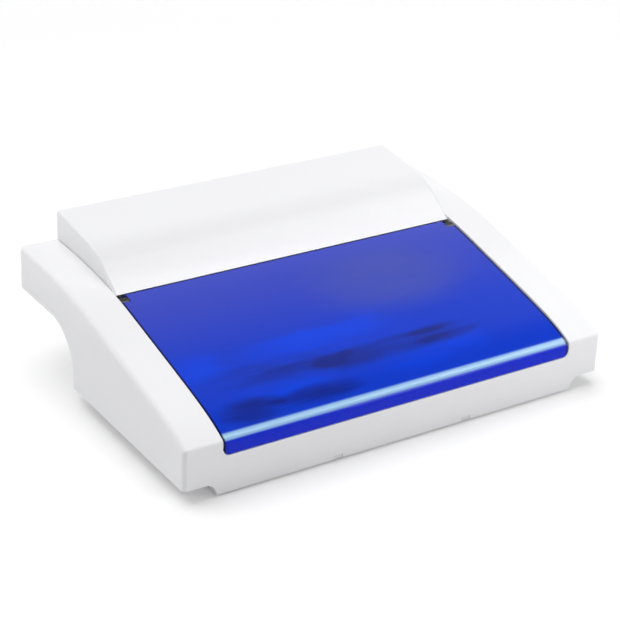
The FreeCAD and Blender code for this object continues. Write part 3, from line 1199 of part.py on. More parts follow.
def interlock_screws():
    """Screws through the interlock switch into the tub's wall."""
    inward = FreeCAD.Vector(-1, 0, 0)
    length = INTERLOCK_WIDTH + TUB_WALL
    screws = []
    for depth, height in interlock_screw_places():
        seat = spot(depth, height, TUB_HALF + INTERLOCK_WIDTH)
        head_height = INTERLOCK_SCREW_RADIUS
        screws.append(screw(seat, inward, length, INTERLOCK_SCREW_RADIUS, INTERLOCK_SCREW_HEAD, head_height))
    return Part.makeCompound(screws)


def lamp_lead_place():
    """Depth and height where a lead comes through the tub's wall to a lampholder."""
    return LAMP_DEPTH + LEAD_ENTRY_BACK, SHELF_TOP + LEAD_ENTRY_RISE


def leads():
    """Insulated leads between the switch, terminal block, ballast, lampholders and starter socket."""
    blade = POCKET_FACE - SWITCH_LENGTH - SWITCH_BLADE_LENGTH
    crossing = blade - LEAD_CROSSING
    lower, upper = span(POCKET_HEIGHT_MIDDLE, SWITCH_BLADE_PITCH)
    aisle = TUB_HALF + LEAD_AISLE
    terminal = TERMINAL_DEPTH + TERMINAL_LENGTH / 2
    terminal_x = -WING_MIDDLE + TERMINAL_WIDTH / 4
    under_skirt = crown_height(terminal + LEAD_DROP) - SKIRT_DEPTH - LEAD_HEADROOM
    terminal_height = WING_FLOOR + TERMINAL_HEIGHT / 2
    winding_side = (BALLAST_WIDTH + WINDING_BULGE) / 2
    winding_top = BALLAST_BOTTOM + BALLAST_HEIGHT - BALLAST_LEG
    inner_bulge, outer_bulge = span(WING_MIDDLE, 2 * winding_side)
    lamp_depth, lamp_height = lamp_lead_place()
    holder_x = HOLDER_FACE + HOLDER_THICKNESS
    socket_rear = STARTER_DEPTH + SOCKET_WIDTH / 2
    socket_height = WING_FLOOR + SOCKET_HEIGHT / 2
    winding_rear = BALLAST_DEPTH + BALLAST_LEG
    routes = {
        "lead_switch_terminal": [
            spot(blade, lower, SWITCH_X),
            spot(crossing, lower, SWITCH_X),
            spot(crossing, lower, -aisle),
            spot(terminal + LEAD_DROP, under_skirt, -aisle),
            spot(terminal + LEAD_DROP, terminal_height, terminal_x),
            spot(terminal, terminal_height, terminal_x),
        ],
        "lead_switch_ballast": [
            spot(blade, upper, SWITCH_X),
            spot(crossing, upper, SWITCH_X),
            spot(crossing, upper, inner_bulge),
            spot(BALLAST_DEPTH, winding_top + LEAD_RISE, inner_bulge),
            spot(BALLAST_DEPTH, winding_top, inner_bulge),
        ],
        "lead_ballast_lamp": [
            spot(winding_rear, winding_top, outer_bulge),
            spot(winding_rear, lamp_height, outer_bulge),
            spot(lamp_depth, lamp_height, outer_bulge),
            spot(lamp_depth, lamp_height, holder_x),
        ],
        "lead_lamp_starter": [
            spot(lamp_depth, lamp_height, -holder_x),
            spot(lamp_depth, lamp_height, -WING_MIDDLE),
            spot(socket_rear + LEAD_WELL, lamp_height, -WING_MIDDLE),
            spot(socket_rear + LEAD_WELL, socket_height, -WING_MIDDLE),
            spot(socket_rear, socket_height, -WING_MIDDLE),
        ],
    }
    return {name: tube_along(points, LEAD_RADIUS, LEAD_BEND) for name, points in routes.items()}


def nodes():
    """Every piece by the name of its node."""
    pieces = {
        "body_shell": body_shell(),
        "hood": hood(),
        "lid": lid(),
        "hinge_ear_left": mirrored(hinge_ear()),
        "hinge_ear_right": hinge_ear(),
        "hinge_pin_left": mirrored(hinge_pin()),
        "hinge_pin_right": hinge_pin(),
        "base_cover": base_cover(),
        "chamber_tub": chamber_tub(),
        "floor_sheet": floor_sheet(),
        "tool_tray": tool_tray(),
        "lid_bumpers": lid_bumpers(),
        "uv_tube": uv_tube(),
        "lamp_caps": lamp_caps(),
        "lamp_pins": lamp_pins(),
        "lamp_rotors": lamp_rotors(),
        "lampholder_left": mirrored(lampholder()),
        "lampholder_right": lampholder(),
        "lampholder_screws": holder_screws(),
        "lamp_reflector": lamp_reflector(),
        "lamp_guard": lamp_guard(),
        "rear_partition": rear_partition(),
        "hood_screws": hood_screws(),
        "base_screws": base_screws(),
        "switch_body": switch_body(),
        "switch_rocker": switch_rocker(),
        "switch_blades": switch_blades(),
        "cord_gland": cord_gland(),
        "gland_nut": gland_nut(),
        "ballast_core": ballast_core(),
        "ballast_winding": ballast_winding(),
        "ballast_screws": ballast_screws(),
        "starter": starter(),
        "starter_socket": starter_socket(),
        "terminal_block": terminal_block(),
        "terminal_screws": terminal_screws(),
        "interlock_switch": interlock_switch(),
        "interlock_plunger": interlock_plunger(),
        "interlock_screws": interlock_screws(),
    }
    for name, (x, depth) in foot_places().items():
        pieces[name] = foot(x, depth)
    pieces.update(leads())
    return pieces


os.makedirs("parts", exist_ok=True)
for name, shape in nodes().items():
    solids = shape.Solids
    whole = solids[0] if len(solids) == 1 else Part.makeCompound(solids)
    whole.exportStep("parts/" + name + ".step")
    print(name, len(solids), "solids", round(shape.Volume), "mm3", shape.isValid())
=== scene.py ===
import json
import math

import bmesh
import bpy
from bpy.props import FloatProperty, FloatVectorProperty, PointerProperty
from mathutils import Matrix, Vector


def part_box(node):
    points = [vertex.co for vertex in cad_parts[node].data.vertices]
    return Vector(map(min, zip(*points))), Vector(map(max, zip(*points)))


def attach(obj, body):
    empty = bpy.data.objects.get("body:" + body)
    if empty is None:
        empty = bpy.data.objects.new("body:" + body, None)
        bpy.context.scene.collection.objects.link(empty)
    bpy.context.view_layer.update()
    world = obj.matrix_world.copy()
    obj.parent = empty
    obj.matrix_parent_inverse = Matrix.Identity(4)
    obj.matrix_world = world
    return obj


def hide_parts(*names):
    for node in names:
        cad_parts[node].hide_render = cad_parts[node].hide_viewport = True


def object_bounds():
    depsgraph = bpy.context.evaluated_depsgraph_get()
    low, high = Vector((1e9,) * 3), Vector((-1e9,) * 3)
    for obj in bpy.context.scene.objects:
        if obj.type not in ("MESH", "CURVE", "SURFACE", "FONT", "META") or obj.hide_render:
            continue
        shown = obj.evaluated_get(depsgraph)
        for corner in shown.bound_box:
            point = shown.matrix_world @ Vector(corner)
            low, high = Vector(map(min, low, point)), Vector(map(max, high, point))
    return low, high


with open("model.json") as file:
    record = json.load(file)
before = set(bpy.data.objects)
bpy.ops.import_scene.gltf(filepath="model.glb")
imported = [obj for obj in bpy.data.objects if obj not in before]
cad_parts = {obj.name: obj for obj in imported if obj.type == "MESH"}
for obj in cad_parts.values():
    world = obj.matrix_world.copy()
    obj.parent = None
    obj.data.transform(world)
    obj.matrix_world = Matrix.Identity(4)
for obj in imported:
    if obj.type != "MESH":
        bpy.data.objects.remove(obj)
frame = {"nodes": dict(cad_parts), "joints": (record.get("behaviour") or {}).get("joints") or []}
CAD_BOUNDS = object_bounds()

bl_info = {
    "name": "Sterilizer Box",
    "version": (1, 0, 0),
    "blender": (4, 5, 0),
    "location": "View3D > Sidebar > Sterilizer",
    "description": "Finishes the ultraviolet sterilizer box and sets it on a white studio floor",
    "category": "Object",
}

# A metre is the unit of length, so one millimetre has a name of its own.
MM = 0.001
# Points nearer than this are one point, flatter edges than FLAT vanish and sharper ones than CREASE stay sharp.
SAME_PLACE = 0.001 * MM
FLAT = math.radians(0.2)
CREASE = math.radians(33)

# Colour sockets of a Mix node, which has others for numbers and vectors
MIX_FIRST, MIX_SECOND, MIX_RESULT = 6, 7, 2

# White mouldings: sizes of the mottle and the specks, how high up and how much they are darker towards the bottom,
# and where satin gives way to gloss
MOTTLE_SIZE = 0.45 * MM
SPECK_SIZE = 0.5 * MM
DARKER_LOW_HEIGHT = 24 * MM
DARKER_LOW_SHARE = 0.3
SATIN_HEIGHTS = (68 * MM, 86 * MM)
SATIN_ROUGHNESS = 0.4

# Bands of the lid, each with its fading edge: depths of its front, blue and gloss, heights of its bend; the blue
# pales towards the hinge as painted reflection, and the bend holds a painted highlight
FRONT_DEPTHS = (-131 * MM, -128 * MM)
BLUE_DEPTHS = (-80 * MM, 25 * MM)
GLOSS_DEPTHS = (-128 * MM, -100 * MM)
FRONT_GLOSS = 0.1
BEND_FOOT = (44.8 * MM, 46.4 * MM)
BEND_TOP = (48.2 * MM, 49.4 * MM)
# Ovals in the lid's blue, for painted streaks of shade, patches of light and a haze of reflection: middle across and
# back, half length and half width in millimetres
# Painted shade: darker streaks where the lid's interior and its reflections would darken it
SHADE_STREAKS = ((-95, -90, 50, 12), (4, -97, 52, 11), (64, -94, 26, 8), (-66, -122, 30, 7), (-130, -117, 20, 11))
# Painted light: brighter patches of blue
LIGHT_PATCHES = ((-5, -70, 60, 17), (34, -111, 50, 11), (-70, -70, 45, 12), (-104, -106, 45, 9), (-148, -70, 24, 16))
# Painted reflection: a paler, greyer haze where the lid would mirror its white surroundings
REFLECTED_HAZE = ((62, -18, 62, 36),)
# Where an oval starts and is full, as squared shares of its half sizes, and how far its edge frays
OVAL_EDGE = (2.4, -1.2)
FRAYED, SOFT = 7.0, 1.5

# Outlines of the turned pieces, as radius and height in millimetres
FOOT = (
    (0, 0.6), (2.0, 0.6), (2.5, 0), (5.6, 0), (6.5, 0.3), (7, 0.9), (7, 1.6), (6.7, 2), (2, 2), (2, 4), (1.5, 4.5),
    (0, 4.5))
GLAND = (
    (3.2, -10.8), (5.9, -10.8), (6.5, -10.2), (6.5, -2), (8.6, -2), (9, -1.6), (9, -0.9), (8.1, 0), (5, 0),
    (4.4, -0.6), (3.2, -1.2))
LAMP_CAP = (
    (0, 0), (7.4, 0), (8, 0.5), (8, 2.6), (7.5, 3), (7.5, 3.8), (8, 4.2), (8, 7.2), (7.3, 8), (0, 8))
LAMP_STEM = ((0, 0), (5.4, 0), (5, 0.9), (2.8, 5), (2.4, 9), (1.4, 10), (0, 10))
SUPPORT_WIRE = ((0, 0), (0.4, 0), (0.4, 10), (0, 10))

# Inside the lamp: where the support wires start, how far each is from the middle, and the wound filament
SUPPORT_FOOT = 9 * MM
SUPPORT_OFFSET = 2 * MM
FILAMENT_PLACE = 18.5 * MM
FILAMENT = {"radius": 0.9 * MM, "wire": 0.2 * MM, "length": 5 * MM, "turns": 8}
# The glass's shoulder as a share of its radius, and how much of it the corner cuts off
GLASS_SHOULDER, GLASS_CUT = 0.25, 0.3

# Grip flutes of the gland: faces from one to the next, faces sunk, their share of the radius, and the rim's
FLUTE_STEP, FLUTE_WIDTH, FLUTE_RADIUS, FLUTE_RIM = 4, 2, 0.93, 0.99

# Screw heads as shares of their radius and height, their cross recess as shares of the crown, and the thread's root
HEAD_CROWN, HEAD_SHOULDER, HEAD_SHOULDER_RISE, HEAD_BRIM = 0.62, 0.86, 0.82, 0.45
RECESS_ARM, RECESS_HALF, RECESS_DEPTH, RECESS_TAPER = 0.8, 0.2, 0.6, 0.75
THREAD_ROOT = 0.8

# Lamps: places, targets, ways, and the softboxes' two sides in metres
KEY_PLACE, KEY_TARGET, KEY_SIZE = (0.52, -0.22, 0.95), (0.0, -0.22, 0.06), (0.24, 0.75)
SIDE_PLACE, SIDE_SIZE = (-0.75, 0.42, 0.4), (0.5, 0.5)
FRONT_PLACE, FRONT_SIZE = (0.75, -0.9, 0.55), (0.6, 0.5)
SKY_PLACE, SKY_WAY = (0.0, 0.0, 2.0), (0.13, -0.33, -1.0)
# How steeply up the backdrop starts to dim and is dimmest
BACKDROP_DIMS = (0.45, 0.88)


class Wire:
    """An output of a node that takes part in sums as a number that changes over a surface."""

    def __init__(self, nodes, socket):
        self.nodes = nodes
        self.socket = socket

    def maths(self, operation, first, second):
        return self.nodes.add("ShaderNodeMath", {"operation": operation}, {0: first, 1: second})

    def __add__(self, other):
        return self.maths("ADD", self, other)

    def __radd__(self, other):
        return self.maths("ADD", other, self)

    def __sub__(self, other):
        return self.maths("SUBTRACT", self, other)

    def __rsub__(self, other):
        return self.maths("SUBTRACT", other, self)

    def __mul__(self, other):
        return self.maths("MULTIPLY", self, other)

    def __rmul__(self, other):
        return self.maths("MULTIPLY", other, self)

    def __truediv__(self, other):
        return self.maths("DIVIDE", self, other)

    def __rtruediv__(self, other):
        return self.maths("DIVIDE", other, self)


class Nodes:
    """Adds nodes to one tree and joins them up."""

    def __init__(self, tree):
        self.tree = tree
        tree.nodes.clear()

    def add(self, kind, settings=None, sockets=None, output=0):
        """One node of a type: its settings first, then the values or links of its sockets."""
        node = self.tree.nodes.new(kind)
        for name, value in (settings or {}).items():
            setattr(node, name, value)
        for key, value in (sockets or {}).items():
            if isinstance(value, Wire):
                self.tree.links.new(value.socket, node.inputs[key])
            else:
                node.inputs[key].default_value = value
        return Wire(self, node.outputs[output]) if node.outputs else node

    def place(self, scale=(1.0, 1.0, 1.0)):
        """Where a point lies on the piece, in metres, stretched along each way."""
        here = self.add("ShaderNodeTexCoord", output="Object")
        return self.add("ShaderNodeMapping", {"vector_type": "POINT"}, {"Vector": here, "Scale": scale})

    def along(self, way):
        """Distance along X, Y or Z in metres."""
        here = self.add("ShaderNodeTexCoord", output="Object")
        return self.add("ShaderNodeSeparateXYZ", None, {"Vector": here}, output=way)

    def noise(self, size, detail=2.0, scale=(1.0, 1.0, 1.0), distortion=0.0):
        """Cloudy pattern whose patches are about a size across."""
        sockets = {"Vector": self.place(scale), "Scale": 1.0 / size, "Detail": detail, "Distortion": distortion}
        return self.add("ShaderNodeTexNoise", None, sockets, output="Fac")

    def ease(self, value, low, high, to_low=0.0, to_high=1.0):
        """A value eased from one range into another and held at its ends."""
        sockets = {"Value": value, "From Min": low, "From Max": high, "To Min": to_low, "To Max": to_high}
        return self.add("ShaderNodeMapRange", {"interpolation_type": "SMOOTHSTEP"}, sockets)

    def tint(self, factor, first, second):
        """Colour between two colours."""
        sockets = {"Factor": factor, MIX_FIRST: first, MIX_SECOND: second}
        return self.add("ShaderNodeMix", {"data_type": "RGBA"}, sockets, output=MIX_RESULT)

    def relief(self, height, depth):
        """Surface direction from a height pattern whose full swing is a depth."""
        return self.add("ShaderNodeBump", None, {"Strength": 1.0, "Distance": depth, "Height": height})


def surface(name, paint):
    """A material whose Principled shader takes what a paint function gives for its sockets."""
    material = bpy.data.materials.new(name)
    material.use_nodes = True
    nodes = Nodes(material.node_tree)
    shader = nodes.add("ShaderNodeBsdfPrincipled", None, paint(nodes))
    nodes.add("ShaderNodeOutputMaterial", None, {"Surface": shader})
    return material


def rgba(colour):
    """A colour with full cover."""
    return (*colour, 1.0)


def shade(colour, share):
    """A colour made darker, or lighter, by a share."""
    return tuple(channel * share for channel in colour)


def dress(material, *names):
    """Give CAD nodes a material."""
    for name in names:
        slots = frame["nodes"][name].data.materials
        slots.clear()
        slots.append(material)


# Shapes


def piece(name, shape, body, material, slot, *replaced):
    """A finished piece from a bmesh, riding on a body in place of CAD nodes."""
    mesh = bpy.data.meshes.new(name)
    shape.to_mesh(mesh)
    shape.free()
    mesh.shade_smooth()
    mesh.set_sharp_from_angle(angle=CREASE)
    mesh.materials.append(material)
    made = bpy.data.objects.new(name, mesh)
    bpy.context.scene.collection.objects.link(made)
    made.modifiers.new("even_shading", "WEIGHTED_NORMAL").keep_sharp = True
    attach(made, body)
    if replaced:
        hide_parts(*replaced)


def copied(node):
    """Merged copy of a CAD node's mesh."""
    shape = bmesh.new()
    shape.from_mesh(frame["nodes"][node].data)
    bmesh.ops.remove_doubles(shape, verts=shape.verts, dist=SAME_PLACE)
    return shape


def rounded(node, radius, shortest):
    """Copy of a CAD node's mesh with its sharp edges rounded, apart from the shortest."""
    shape = copied(node)
    bmesh.ops.dissolve_limit(shape, angle_limit=FLAT, verts=shape.verts, edges=shape.edges)
    sharp = [edge for edge in shape.edges if edge.is_manifold and edge.calc_face_angle() > CREASE]
    bmesh.ops.bevel(
        shape, geom=[edge for edge in sharp if edge.calc_length() > shortest], offset=radius, offset_type="OFFSET",
        affect="EDGES", segments=3, profile=0.5, material=-1, clamp_overlap=True)
    return shape


def remodelled(radius, body, material, slot, *nodes, shortest=2 * MM):
    """Pieces with rounded edges in place of CAD nodes."""
    for node in nodes:
        piece(node + "_moulding", rounded(node, radius, shortest), body, material, slot, node)


def loose_boxes(node):
    """Low and high corners of each loose solid in a CAD node."""
    shape = copied(node)
    left = set(shape.verts)
    boxes = []
    while left:
        found = [left.pop()]
        for point in found:
            near = {edge.other_vert(point) for edge in point.link_edges} & left
            left -= near
            found.extend(near)
        sides = [[point.co[way] for point in found] for way in range(3)]
        boxes.append((Vector(min(side) for side in sides), Vector(max(side) for side in sides)))
    shape.free()
    return boxes


def turned(outline, steps=48, closed=False):
    """Round shape about Z from an outline of (radius, height) points, closed on itself for a ring."""
    shape = bmesh.new()
    points = [shape.verts.new((radius, 0.0, height)) for radius, height in outline]
    ends = points[1:] + points[:1] if closed else points[1:]
    lines = [shape.edges.new(pair) for pair in zip(points, ends)]
    bmesh.ops.spin(
        shape, geom=points + lines, cent=(0, 0, 0), axis=(0, 0, 1), angle=2 * math.pi, steps=steps, use_merge=True)
    bmesh.ops.remove_doubles(shape, verts=shape.verts, dist=SAME_PLACE)
    bmesh.ops.recalc_face_normals(shape, faces=shape.faces)
    return shape


def set_at(shape, place, way):
    """Move a shape made about Z to a place, with Z turned to a way."""
    turn = Vector(way).to_track_quat("Z", "Y").to_matrix().to_4x4()
    bmesh.ops.transform(shape, matrix=Matrix.Translation(place) @ turn, verts=shape.verts)
    return shape


def gathered(shapes):
    """One shape from several."""
    whole = bmesh.new()
    mesh = bpy.data.meshes.new("gathering")
    for shape in shapes:
        shape.to_mesh(mesh)
        shape.free()
        whole.from_mesh(mesh)
    bpy.data.meshes.remove(mesh)
    return whole


def only(kind, parts):
    """The parts of one kind."""
    return [part for part in parts if isinstance(part, kind)]


def screw(head_radius, head_height, shank_radius, shank_length, pitch=0.9 * MM):
    """Pan-head screw along Z with a cross recess and a ridged shank, its head's seat at nought."""
    crown = HEAD_CROWN * head_radius
    outline = [
        (crown, head_height), (HEAD_SHOULDER * head_radius, HEAD_SHOULDER_RISE * head_height),
        (head_radius, HEAD_BRIM * head_height), (head_radius, 0.0), (shank_radius, 0.0)]
    height = -pitch
    while height > pitch - shank_length:
        outline += [(shank_radius, height), (THREAD_ROOT * shank_radius, height - pitch / 2)]
        height -= pitch
    shape = turned(outline + [(0.0, -shank_length)], steps=24)
    rim = [edge for edge in shape.edges if edge.is_boundary]
    arm, half = RECESS_ARM * crown, RECESS_HALF * crown
    corners = ((arm, -half, head_height), (arm, half, head_height), (half, half, head_height))
    quarters = [Matrix.Rotation(quarter * math.pi / 2, 3, "Z") for quarter in range(4)]
    points = [shape.verts.new(quarter @ Vector(corner)) for quarter in quarters for corner in corners]
    mouth = [shape.edges.new(pair) for pair in zip(points, points[1:] + points[:1])]
    bmesh.ops.triangle_fill(shape, edges=rim + mouth, use_beauty=True)
    sunk = bmesh.ops.extrude_edge_only(shape, edges=mouth)["geom"]
    bottom = only(bmesh.types.BMVert, sunk)
    bmesh.ops.translate(shape, vec=(0, 0, -RECESS_DEPTH * head_height), verts=bottom)
    bmesh.ops.scale(shape, vec=(RECESS_TAPER, RECESS_TAPER, 1.0), verts=bottom)
    edges = [edge for edge in only(bmesh.types.BMEdge, sunk) if all(point in bottom for point in edge.verts)]
    bmesh.ops.edgeloop_fill(shape, edges=edges)
    bmesh.ops.recalc_face_normals(shape, faces=shape.faces)
    return shape


def coil(radius, wire, length, turns, steps=14):
    """Wire wound along Y."""
    shape = bmesh.new()
    ring = bmesh.ops.create_circle(shape, segments=8, radius=wire)["verts"]
    bmesh.ops.translate(shape, vec=(radius, -length / 2, 0), verts=ring)
    bmesh.ops.spin(
        shape, geom=ring + shape.edges[:], cent=(0, 0, 0), axis=(0, 1, 0), angle=2 * math.pi * turns,
        dvec=(0, length / (turns * steps), 0), steps=turns * steps)
    bmesh.ops.holes_fill(shape, edges=[edge for edge in shape.edges if edge.is_boundary])
    bmesh.ops.recalc_face_normals(shape, faces=shape.faces)
    return shape


def scaled(outline):
    """An outline written in millimetres."""
    return [(radius * MM, height * MM) for radius, height in outline]


def joint_place(name):
    """A point on a joint's axis."""
    return Vector(next(joint for joint in frame["joints"] if joint["name"] == name)["pos_m"])


# Finishes


def moulded_white(colour, roughness, grain, sheen, satin=0.0):
    """White moulding: fine mottle and spark texture, satin below the hood where asked, and darker towards the bottom
    in patches.
    """

    def paint(nodes):
        mottle = nodes.noise(size=MOTTLE_SIZE, detail=2.0)
        speck = nodes.noise(size=SPECK_SIZE, detail=1.0)
        # Darker towards the bottom, in patches
        darker_low = nodes.ease(nodes.along("Z"), 0.0, DARKER_LOW_HEIGHT, 1.0, 0.0) * nodes.noise(size=30 * MM, detail=4.0)
        clean = nodes.tint(mottle, rgba(shade(colour, 1.01)), rgba(shade(colour, 0.985)))
        rough, coat = nodes.ease(mottle, 0.2, 0.8, roughness - 0.03, roughness + 0.03), sheen
        if satin:
            dull = nodes.ease(nodes.along("Z"), *SATIN_HEIGHTS, satin, 0.0)
            rough, coat = rough + dull * SATIN_ROUGHNESS, (1.0 - dull) * sheen
        return {
            "Base Color": nodes.tint(darker_low * DARKER_LOW_SHARE, clean, rgba(shade(colour, 0.88))),
            "Roughness": rough,
            "Specular IOR Level": 0.45,
            "Coat Weight": coat,
            "Coat Roughness": 0.08,
            "Normal": nodes.relief(speck, grain),
        }

    return paint


def blue_acrylic(settings):
    """See-through blue acrylic: painted streaks of shade, painted patches of light, a painted haze of reflection,
    blue paler towards the hinge as painted reflection, dark side edges that are partly painted gap shade, a painted
    highlight on the bend, smears and fine scratches.
    """

    def paint(nodes):
        depth, height = nodes.along("Y"), nodes.along("Z")
        across = nodes.add("ShaderNodeMath", {"operation": "ABSOLUTE"}, {0: nodes.along("X")})
        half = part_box("lid")[1].x
        # Band along the side edges: the sheet's darker edge together with painted shade from the gap beside it
        edge = nodes.ease(across, half - settings.edge_width, half - 0.4 * settings.edge_width)
        front = nodes.ease(depth, *FRONT_DEPTHS, 1.0, 0.0)
        # Mask of the bend above the lip, where a painted highlight goes
        bend = front * nodes.ease(height, *BEND_FOOT) * nodes.ease(height, *BEND_TOP, 1.0, 0.0)
        lip = front * nodes.ease(height, *BEND_FOOT, 1.0, 0.0)
        ragged = nodes.noise(size=24 * MM, detail=3.0, scale=(0.28, 1.2, 1.2), distortion=0.5)

        def spread(spots, fray):
            """One inside frayed ovals on the lid and nought outside them."""
            inside = 0.0
            for x, y, long, wide in spots:
                along, aside = (nodes.along("X") - x * MM) / (long * MM), (depth - y * MM) / (wide * MM)
                inside = inside + nodes.ease(along * along + aside * aside + (ragged - 0.5) * fray, *OVAL_EDGE)
            return nodes.add("ShaderNodeClamp", None, {"Value": inside})

        smear = nodes.noise(size=30 * MM, detail=4.0, scale=(0.25, 1.0, 1.0))
        scratch = nodes.noise(size=0.9 * MM, detail=1.0, scale=(0.02, 1.0, 1.0))
        # Blue from lip to hinge, paler and greyer towards the hinge as painted reflection
        vivid = nodes.tint(nodes.ease(depth, *BLUE_DEPTHS), rgba(settings.front_blue), rgba(settings.rear_blue_and_reflection))
        # Painted reflection: greyer haze
        with_reflected_haze = nodes.tint(spread(REFLECTED_HAZE, SOFT) * settings.reflected_haze_strength, vivid, rgba(settings.reflected_haze_blue))
        # Painted light: brighter patches
        bright = nodes.tint(spread(LIGHT_PATCHES, FRAYED) * settings.light_patch_strength, with_reflected_haze, rgba(settings.light_patch_blue))
        # Painted shade: darker streaks
        streaky = nodes.tint(spread(SHADE_STREAKS, FRAYED) * settings.shade_streak_strength, bright, rgba(settings.shade_streak_blue))
        turned_down = nodes.tint(lip, streaky, rgba(settings.lip_blue))
        # Painted highlight: pale blue on the bend in place of a reflected softbox
        lit = nodes.tint(bend, turned_down, rgba(settings.bend_highlight_blue))
        return {
            # Dark side edges, partly painted gap shade
            "Base Color": nodes.tint(edge, lit, rgba(settings.edge_and_gap_shade_blue)),
            "Roughness": nodes.ease(smear, 0.3, 0.75, settings.polish, settings.polish + 0.06),
            "IOR": 1.49,
            "Transmission Weight": settings.clearness,
            "Specular IOR Level": 0.0,
            "Coat Weight": nodes.ease(depth, *GLOSS_DEPTHS, FRONT_GLOSS, 1.0) * settings.gloss,
            "Coat Roughness": 0.12,
            "Normal": nodes.relief(nodes.ease(scratch, 0.62, 0.75), 0.004 * MM),
        }

    return paint


def satin_black(colour, roughness):
    """Black moulding with a fine spark texture and rubbed high spots."""

    def paint(nodes):
        grain = nodes.noise(size=0.35 * MM, detail=2.0)
        rub = nodes.noise(size=6 * MM, detail=3.0)
        return {
            "Base Color": nodes.tint(nodes.ease(rub, 0.45, 0.75), rgba(colour), rgba(shade(colour, 1.9))),
            "Roughness": nodes.ease(rub, 0.3, 0.7, roughness + 0.08, roughness - 0.06),
            "Normal": nodes.relief(grain, 0.03 * MM),
        }

    return paint


def drawn_metal(colour, roughness, stretch):
    """Bare metal with drawing or brushing lines along one way."""

    def paint(nodes):
        lines = nodes.noise(size=0.4 * MM, detail=3.0, scale=stretch)
        tarnish = nodes.noise(size=12 * MM, detail=3.0)
        return {
            "Base Color": nodes.tint(nodes.ease(tarnish, 0.4, 0.75), rgba(colour), rgba(shade(colour, 0.82))),
            "Metallic": 1.0,
            "Roughness": nodes.ease(lines, 0.3, 0.7, roughness - 0.06, roughness + 0.10),
            "Normal": nodes.relief(lines, 0.01 * MM),
        }

    return paint


def moulded_rubber(colour):
    """Dull rubber with a bloom and a fine matt skin."""

    def paint(nodes):
        skin = nodes.noise(size=0.6 * MM, detail=3.0)
        bloom = nodes.noise(size=5 * MM, detail=3.0)
        return {
            "Base Color": nodes.tint(nodes.ease(bloom, 0.4, 0.8), rgba(colour), rgba(shade(colour, 1.7))),
            "Roughness": nodes.ease(bloom, 0.3, 0.7, 0.72, 0.88),
            "Specular IOR Level": 0.3,
            "Normal": nodes.relief(skin, 0.05 * MM),
        }

    return paint


def clear_quartz(colour):
    """Clear quartz with faint drawing streaks along the tube."""

    def paint(nodes):
        streak = nodes.noise(size=2 * MM, detail=2.0, scale=(0.01, 1.0, 1.0))
        return {
            "Base Color": rgba(colour),
            "Roughness": nodes.ease(streak, 0.4, 0.8, 0.02, 0.09),
            "IOR": 1.46,
            "Transmission Weight": 0.92,
        }

    return paint


def frosted_glass(colour):
    """Drawn glass of the stems, milky where it was pressed."""

    def paint(nodes):
        milk = nodes.noise(size=1.5 * MM, detail=2.0)
        return {
            "Base Color": nodes.tint(nodes.ease(milk, 0.4, 0.7), rgba(colour), rgba(shade(colour, 0.85))),
            "Roughness": nodes.ease(milk, 0.3, 0.7, 0.25, 0.45),
            "IOR": 1.5,
            "Transmission Weight": 0.6,
        }

    return paint


def insulated(colour):
    """Soft lead insulation with a waxy shine."""

    def paint(nodes):
        wax = nodes.noise(size=4 * MM, detail=2.0)
        return {
            "Base Color": nodes.tint(wax, rgba(colour), rgba(shade(colour, 0.78))),
            "Roughness": nodes.ease(wax, 0.3, 0.7, 0.38, 0.52),
            "Normal": nodes.relief(nodes.noise(size=0.4 * MM), 0.02 * MM),
        }

    return paint


def laminated_steel(colour):
    """Varnished edges of thin steel sheets stacked across the width."""

    def paint(nodes):
        sockets = {"Vector": nodes.place(), "Scale": 1.0 / (3.2 * MM), "Distortion": 0.4}
        sheets = nodes.add("ShaderNodeTexWave", {"bands_direction": "X"}, sockets, output="Fac")
        varnish = nodes.noise(size=7 * MM, detail=3.0)
        return {
            "Base Color": nodes.tint(sheets * varnish, rgba(colour), rgba(shade(colour, 2.2))),
            "Metallic": 0.6,
            "Roughness": nodes.ease(varnish, 0.3, 0.7, 0.35, 0.55),
            "Normal": nodes.relief(sheets, 0.06 * MM),
        }

    return paint


def wrapped_tape(colour):
    """Amber tape wound in overlapping turns."""

    def paint(nodes):
        sockets = {"Vector": nodes.place(), "Scale": 1.0 / (9 * MM), "Distortion": 0.6}
        turns = nodes.add("ShaderNodeTexWave", {"bands_direction": "Z", "wave_profile": "SAW"}, sockets, output="Fac")
        stain = nodes.noise(size=8 * MM, detail=3.0)
        return {
            "Base Color": nodes.tint(stain, rgba(colour), rgba(shade(colour, 0.7))),
            "Roughness": nodes.ease(stain, 0.3, 0.7, 0.28, 0.42),
            "Normal": nodes.relief(turns, 0.1 * MM),
        }

    return paint


# Settings


def length(name, description, millimetres):
    """A setting in metres whose default is in millimetres."""
    return FloatProperty(name=name, description=description, default=millimetres * MM, unit="LENGTH", precision=4)


def share(name, description, default):
    """A setting from nought to one."""
    return FloatProperty(name=name, description=description, default=default, min=0.0, max=1.0, subtype="FACTOR")


def colour(name, description, default):
    """A colour setting."""
    return FloatVectorProperty(
        name=name, description=description, default=default, size=3, subtype="COLOR", min=0.0, max=1.0)


def power(name, description, watts):
    """A lamp's power."""
    return FloatProperty(name=name, description=description, default=watts, unit="POWER")


def angle(name, description, degrees):
    """A setting in radians whose default is in degrees."""
    return FloatProperty(name=name, description=description, default=math.radians(degrees), subtype="ANGLE")


class ShellSettings(bpy.types.PropertyGroup):
    white: colour("White", "Colour of the body and the hood", (0.86, 0.86, 0.88))
    base_white: colour("Base white", "Colour of the base cover and the partition", (0.74, 0.74, 0.76))
    roughness: share("Roughness", "Roughness of the white moulding", 0.4)
    sheen: share("Sheen", "Strength of the clear gloss on the white moulding", 0.15)
    satin: share("Satin", "How much duller the body is below the hood", 0.9)
    grain: length("Grain", "Depth of the spark texture", 0.012)


